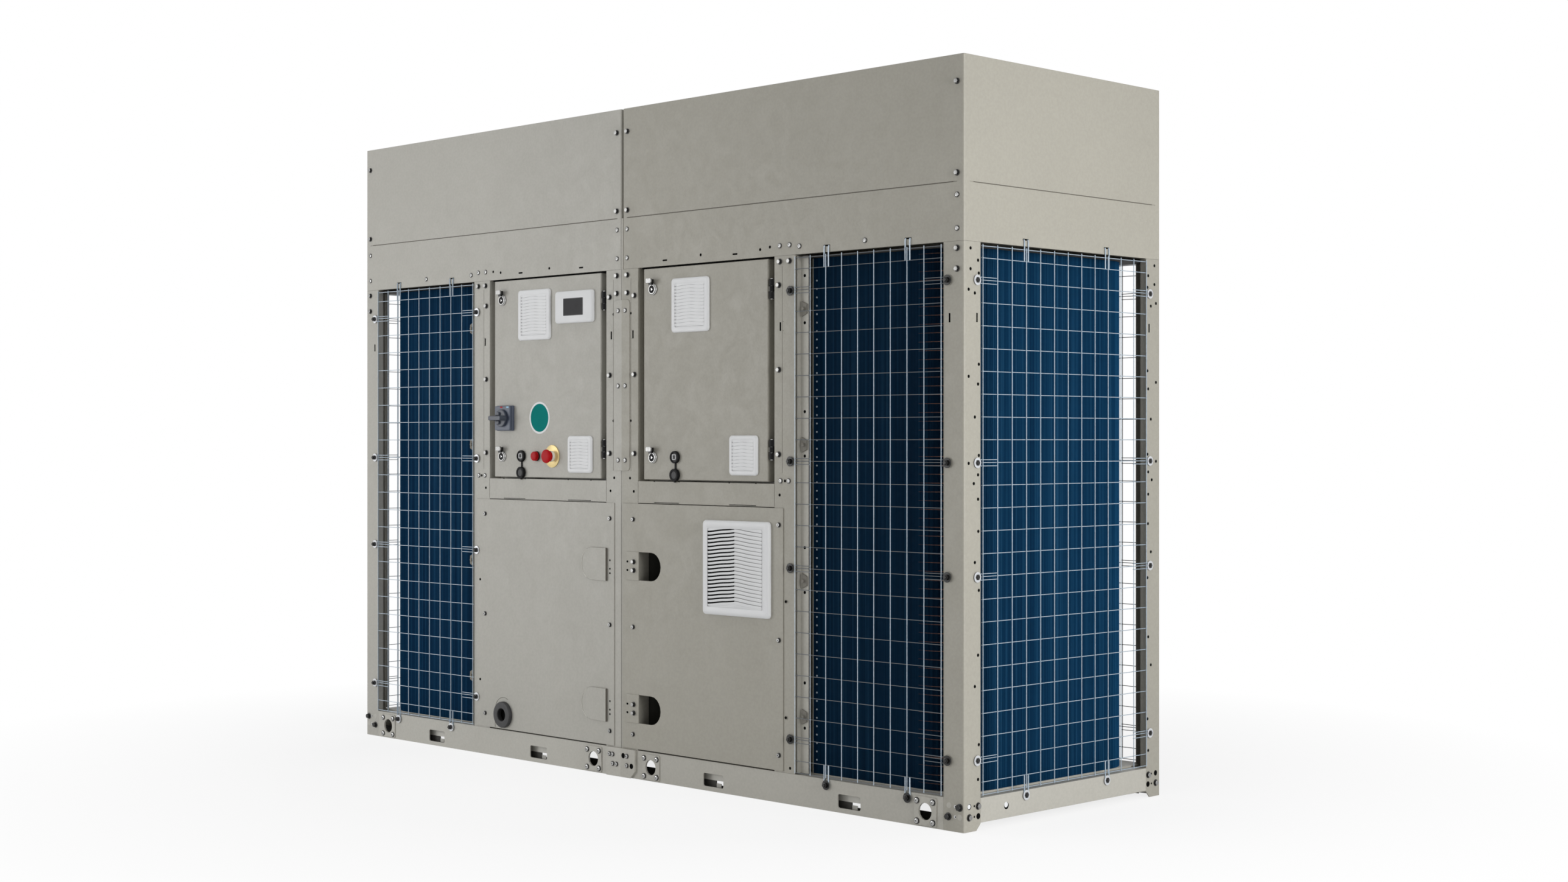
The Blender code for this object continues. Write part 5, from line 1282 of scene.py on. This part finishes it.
DIN_MODULE = 17.5
BOX_BACK, CONTROLS_FOOT = 285, 836
TERMINAL_PITCH, TERMINALS = 5.2, 26


def add_duct(ducts, covers, face, u0, u1, v0, v1):
    """Slotted wiring duct with a snap-on cover, along its longer side."""
    depth, tooth, wall = 55, 5.5, 1.5
    add_box(ducts, face, u0, u1, v0, v1, 0, 2)
    upright = u1 - u0 < v1 - v0
    for i in range(int(max(u1 - u0, v1 - v0) / (2 * tooth))):
        start = 2 * tooth * i + tooth / 2
        for side in (0, 1):
            if upright:
                edge = u1 - wall if side else u0
                add_box(ducts, face, edge, edge + wall, v0 + start, v0 + start + tooth, 2, depth)
            else:
                edge = v1 - wall if side else v0
                add_box(ducts, face, u0 + start, u0 + start + tooth, edge, edge + wall, 2, depth)
    add_box(covers, face, u0 - 1, u1 + 1, v0 - 1, v1 + 1, depth, depth + 2)


def add_breaker(bodies, levers, face, u, v, width, height, depth):
    add_box(bodies, face, u, u + width - 0.6, v - height / 2, v + height / 2, 6, depth * 0.72)
    add_box(bodies, face, u, u + width - 0.6, v - height * 0.27, v + height * 0.27, depth * 0.72, depth)
    add_box(levers, face, u + width * 0.25, u + width * 0.70, v - 4, v + 9, depth, depth + 8)


def electrical_fittings():
    """Mounting plate with wiring ducts, a row of breakers, and a row of terminals with a controller."""
    for key, side in SIDES.items():
        low, high = box("electrical_box_" + key)
        top = HOOD_BOTTOM - 10
        half_u, half_v = 235, (top - CONTROLS_FOOT) / 2 - 35
        face = face_frame(((low.x + high.x) / 2, FRONT + BOX_BACK, (CONTROLS_FOOT + top) / 2))
        over = at(face, 0, 0, 3)
        plate, ducts, covers, pale, dark, levers, rails, wires = meshes(8)
        add_plate(plate, face, half_u, half_v, 0, 3)
        for v in (30 - half_v, -20, half_v - 30):
            add_duct(ducts, covers, over, 50 - half_u, half_u - 50, v - 18, v + 18)
        for u in (26 - half_u, half_u - 26):
            add_duct(ducts, covers, over, u - 18, u + 18, 12 - half_v, half_v - 12)
        upper, lower = half_v - 110, -20 - (half_v - 50) / 2
        for v in (upper, lower):
            add_plate(rails, at(over, 0, v), half_u - 60, 17.5, 0, 6)
        u = 70 - half_u
        for _ in range(9 if side < 0 else 6):
            add_breaker(pale, levers, over, u, upper, DIN_MODULE, 82, 66)
            u += DIN_MODULE
        u += 20
        while u + 45 < half_u - 60:
            add_breaker(dark, levers, over, u, upper, 45, 76, 80)
            u += 48
        u = 72 - half_u
        for i in range(TERMINALS):
            add_box(pale if i % 5 else dark, over, u, u + 4.8, lower - 26, lower + 26, 6, 42)
            for dv in (-19, 19):
                add_box(rails, over, u + 1.2, u + 3.6, lower + dv - 1.4, lower + dv + 1.4, 42, 42.5)
            if i % 2:
                add_tube(wires, over, [(u + 2.4, lower + 23, 30), (u + 2.6, lower + 40, 34), (u + 3, lower + 52, 24),
                                       (u + 3, -40, 20)], 1.1, 6)
            u += TERMINAL_PITCH
        u += 20
        add_box(dark, over, u, half_u - 62, lower - 60, lower + 60, 3, 70)
        add_box(levers, over, u + 12, u + 60, lower + 15, lower + 42, 70, 70.6)
        for i in range(8):
            v = lower - 50 + 7 * i
            add_box(pale, over, u + 10, half_u - 72, v, v + 2.5, 70, 71.2)
        piece("control_plate_" + key, plate, "zinc_wire", "bolt_zinc")
        piece("control_ducts_" + key, ducts, "white_plastic", "duct_grey")
        piece("control_duct_covers_" + key, covers, "white_plastic", "duct_grey", soften=0.6)
        piece("control_rails_" + key, rails, "zinc_wire")
        piece("control_breakers_" + key, pale, "white_plastic", soften=0.5)
        piece("control_devices_" + key, dark, "dark_plastic", "device_dark", soften=0.5)
        piece("control_levers_" + key, levers, "black_rubber")
        piece("control_wires_" + key, wires, "coil_blue", "pale_blue")


def door_stiffeners():
    """Upright hat-shaped channels inside each door."""
    for key in SIDES:
        low, high = box("door_" + key)
        bm = bmesh.new()
        face = face_frame(((low.x + high.x) / 2, FRONT + 2.2, (low.z + high.z) / 2), (-1, 0, 0))
        half = (high.z - low.z) / 2 - 40
        for u in (-150, 150):
            for u0, u1, w0, w1 in ((-30, -14, 0, 1.2), (-15.2, -14, 0, 14), (-15.2, 15.2, 12.8, 14),
                                   (14, 15.2, 0, 14), (14, 30, 0, 1.2)):
                add_box(bm, face, u + u0, u + u1, -half, half, w0, w1)
        piece("door_stiffeners_" + key, bm, "door_paint", body=f"door_{key}_leaf")


electrical_fittings()
door_stiffeners()


# ---- Materials of the frame's own pieces, by the start of their names ----

# Rear corner posts take the darker copy of the paint (painted shade), the base and end rails the lighter one (painted
# light).
CAD_LOOKS = {"corner_post_rear": "shaded_post_paint", "front_base": "lit_rail_paint", "rear_base": "lit_rail_paint",
             "end_rail": "lit_rail_paint", "door_": "door_paint", "guard_": "zinc_wire", "coil_": "coil_blue",
             "filter_": "white_plastic", "fan_guard_": "zinc_wire", "fan_left": "fan_plastic",
             "fan_right": "fan_plastic", "display": "white_plastic", "switch_": "dark_plastic",
             "stop_button": "red_plastic", "stop_collar": "yellow_plate", "lamp": "red_plastic",
             "service_": "black_rubber", "cable_grommet": "black_rubber", "latch_": "chrome"}
for name, thing in frame["nodes"].items():
    look = next((CAD_LOOKS[start] for start in CAD_LOOKS if name.startswith(start)), "panel_paint")
    for slot in thing.material_slots:
        slot.material = MATERIALS[look]


# ---- Floor, light and camera ----

def stage():
    """Pale floor that keeps the shadow near the machine and turns plain white far from it."""
    mesh = bpy.data.meshes.new("floor")
    reach = 60
    mesh.from_pydata([(-reach, -reach, 0), (reach, -reach, 0), (reach, reach, 0), (-reach, reach, 0)], [],
                     [(0, 1, 2, 3)])
    floor = bpy.data.objects.new("floor", mesh)
    floor.location.z = -0.0005
    bpy.context.scene.collection.objects.link(floor)
    shader = Shader("floor")
    shader.set(Base_Color=linear(238, 238, 238), Roughness=0.9)
    distance = shader.add("ShaderNodeVectorMath", shader.place, operation="LENGTH").outputs["Value"]
    fade = shader.spread(distance, 0.80, 1.0, 1.2, 2.6)
    share = shader.add("ShaderNodeMath", shader.background_rays(), fade, operation="MULTIPLY").outputs[0]
    white = shader.add("ShaderNodeEmission", Strength=1.0).outputs[0]
    blend = shader.add("ShaderNodeMixShader", share, shader.surface.outputs[0], white).outputs[0]
    shader.put(shader.tree.nodes["Material Output"].inputs["Surface"], blend)
    mesh.materials.append(shader.material)


def world_light(strength):
    world = bpy.data.worlds.new("studio")
    bpy.context.scene.world = world
    world.use_nodes = True
    sky = Nodes(world.node_tree)
    light = sky.tree.nodes["Background"]
    white = sky.add("ShaderNodeBackground", (1.0, 1.0, 1.0, 1.0), 1.0)
    sky.put(light.inputs["Color"], (1.0, 1.0, 1.0, 1.0))
    sky.put(light.inputs["Strength"], strength)
    blend = sky.add("ShaderNodeMixShader", sky.background_rays(), light.outputs[0], white.outputs[0])
    sky.put(sky.tree.nodes["World Output"].inputs["Surface"], blend.outputs[0])


def area_light(name, place, target, size, power):
    data = bpy.data.lights.new(name, "AREA")
    data.shape = "RECTANGLE"
    data.size, data.size_y = size
    data.energy = power
    light = bpy.data.objects.new(name, data)
    light.location = place
    light.rotation_euler = (Vector(target) - Vector(place)).to_track_quat("-Z", "Y").to_euler()
    bpy.context.scene.collection.objects.link(light)


def camera():
    data = bpy.data.cameras.new("camera")
    data.lens = LENS
    data.sensor_width = SENSOR
    thing = bpy.data.objects.new("camera", data)
    thing.location = Vector((CAMERA_X, FRONT - CAMERA_FROM_FRONT, CAMERA_Z)) / 1000
    thing.rotation_euler = (math.radians(90), 0, math.radians(45))
    bpy.context.scene.collection.objects.link(thing)
    bpy.context.scene.camera = thing


stage()
world_light(0.34)
area_light("left_softbox", (-2.9, -3.6, 1.2), (-0.2, FRONT / 1000, 0.8), (2.4, 2.6), 62)
area_light("right_softbox", (4.9, -0.5, 1.5), (HALF_WIDTH / 1000, 0.0, 0.9), (2.4, 2.4), 127)
area_light("top_softbox", (0.0, -0.5, 4.6), (0.0, 0.0, 1.0), (4.0, 3.0), 45)
camera()
bpy.context.scene.view_settings.view_transform = "Standard"
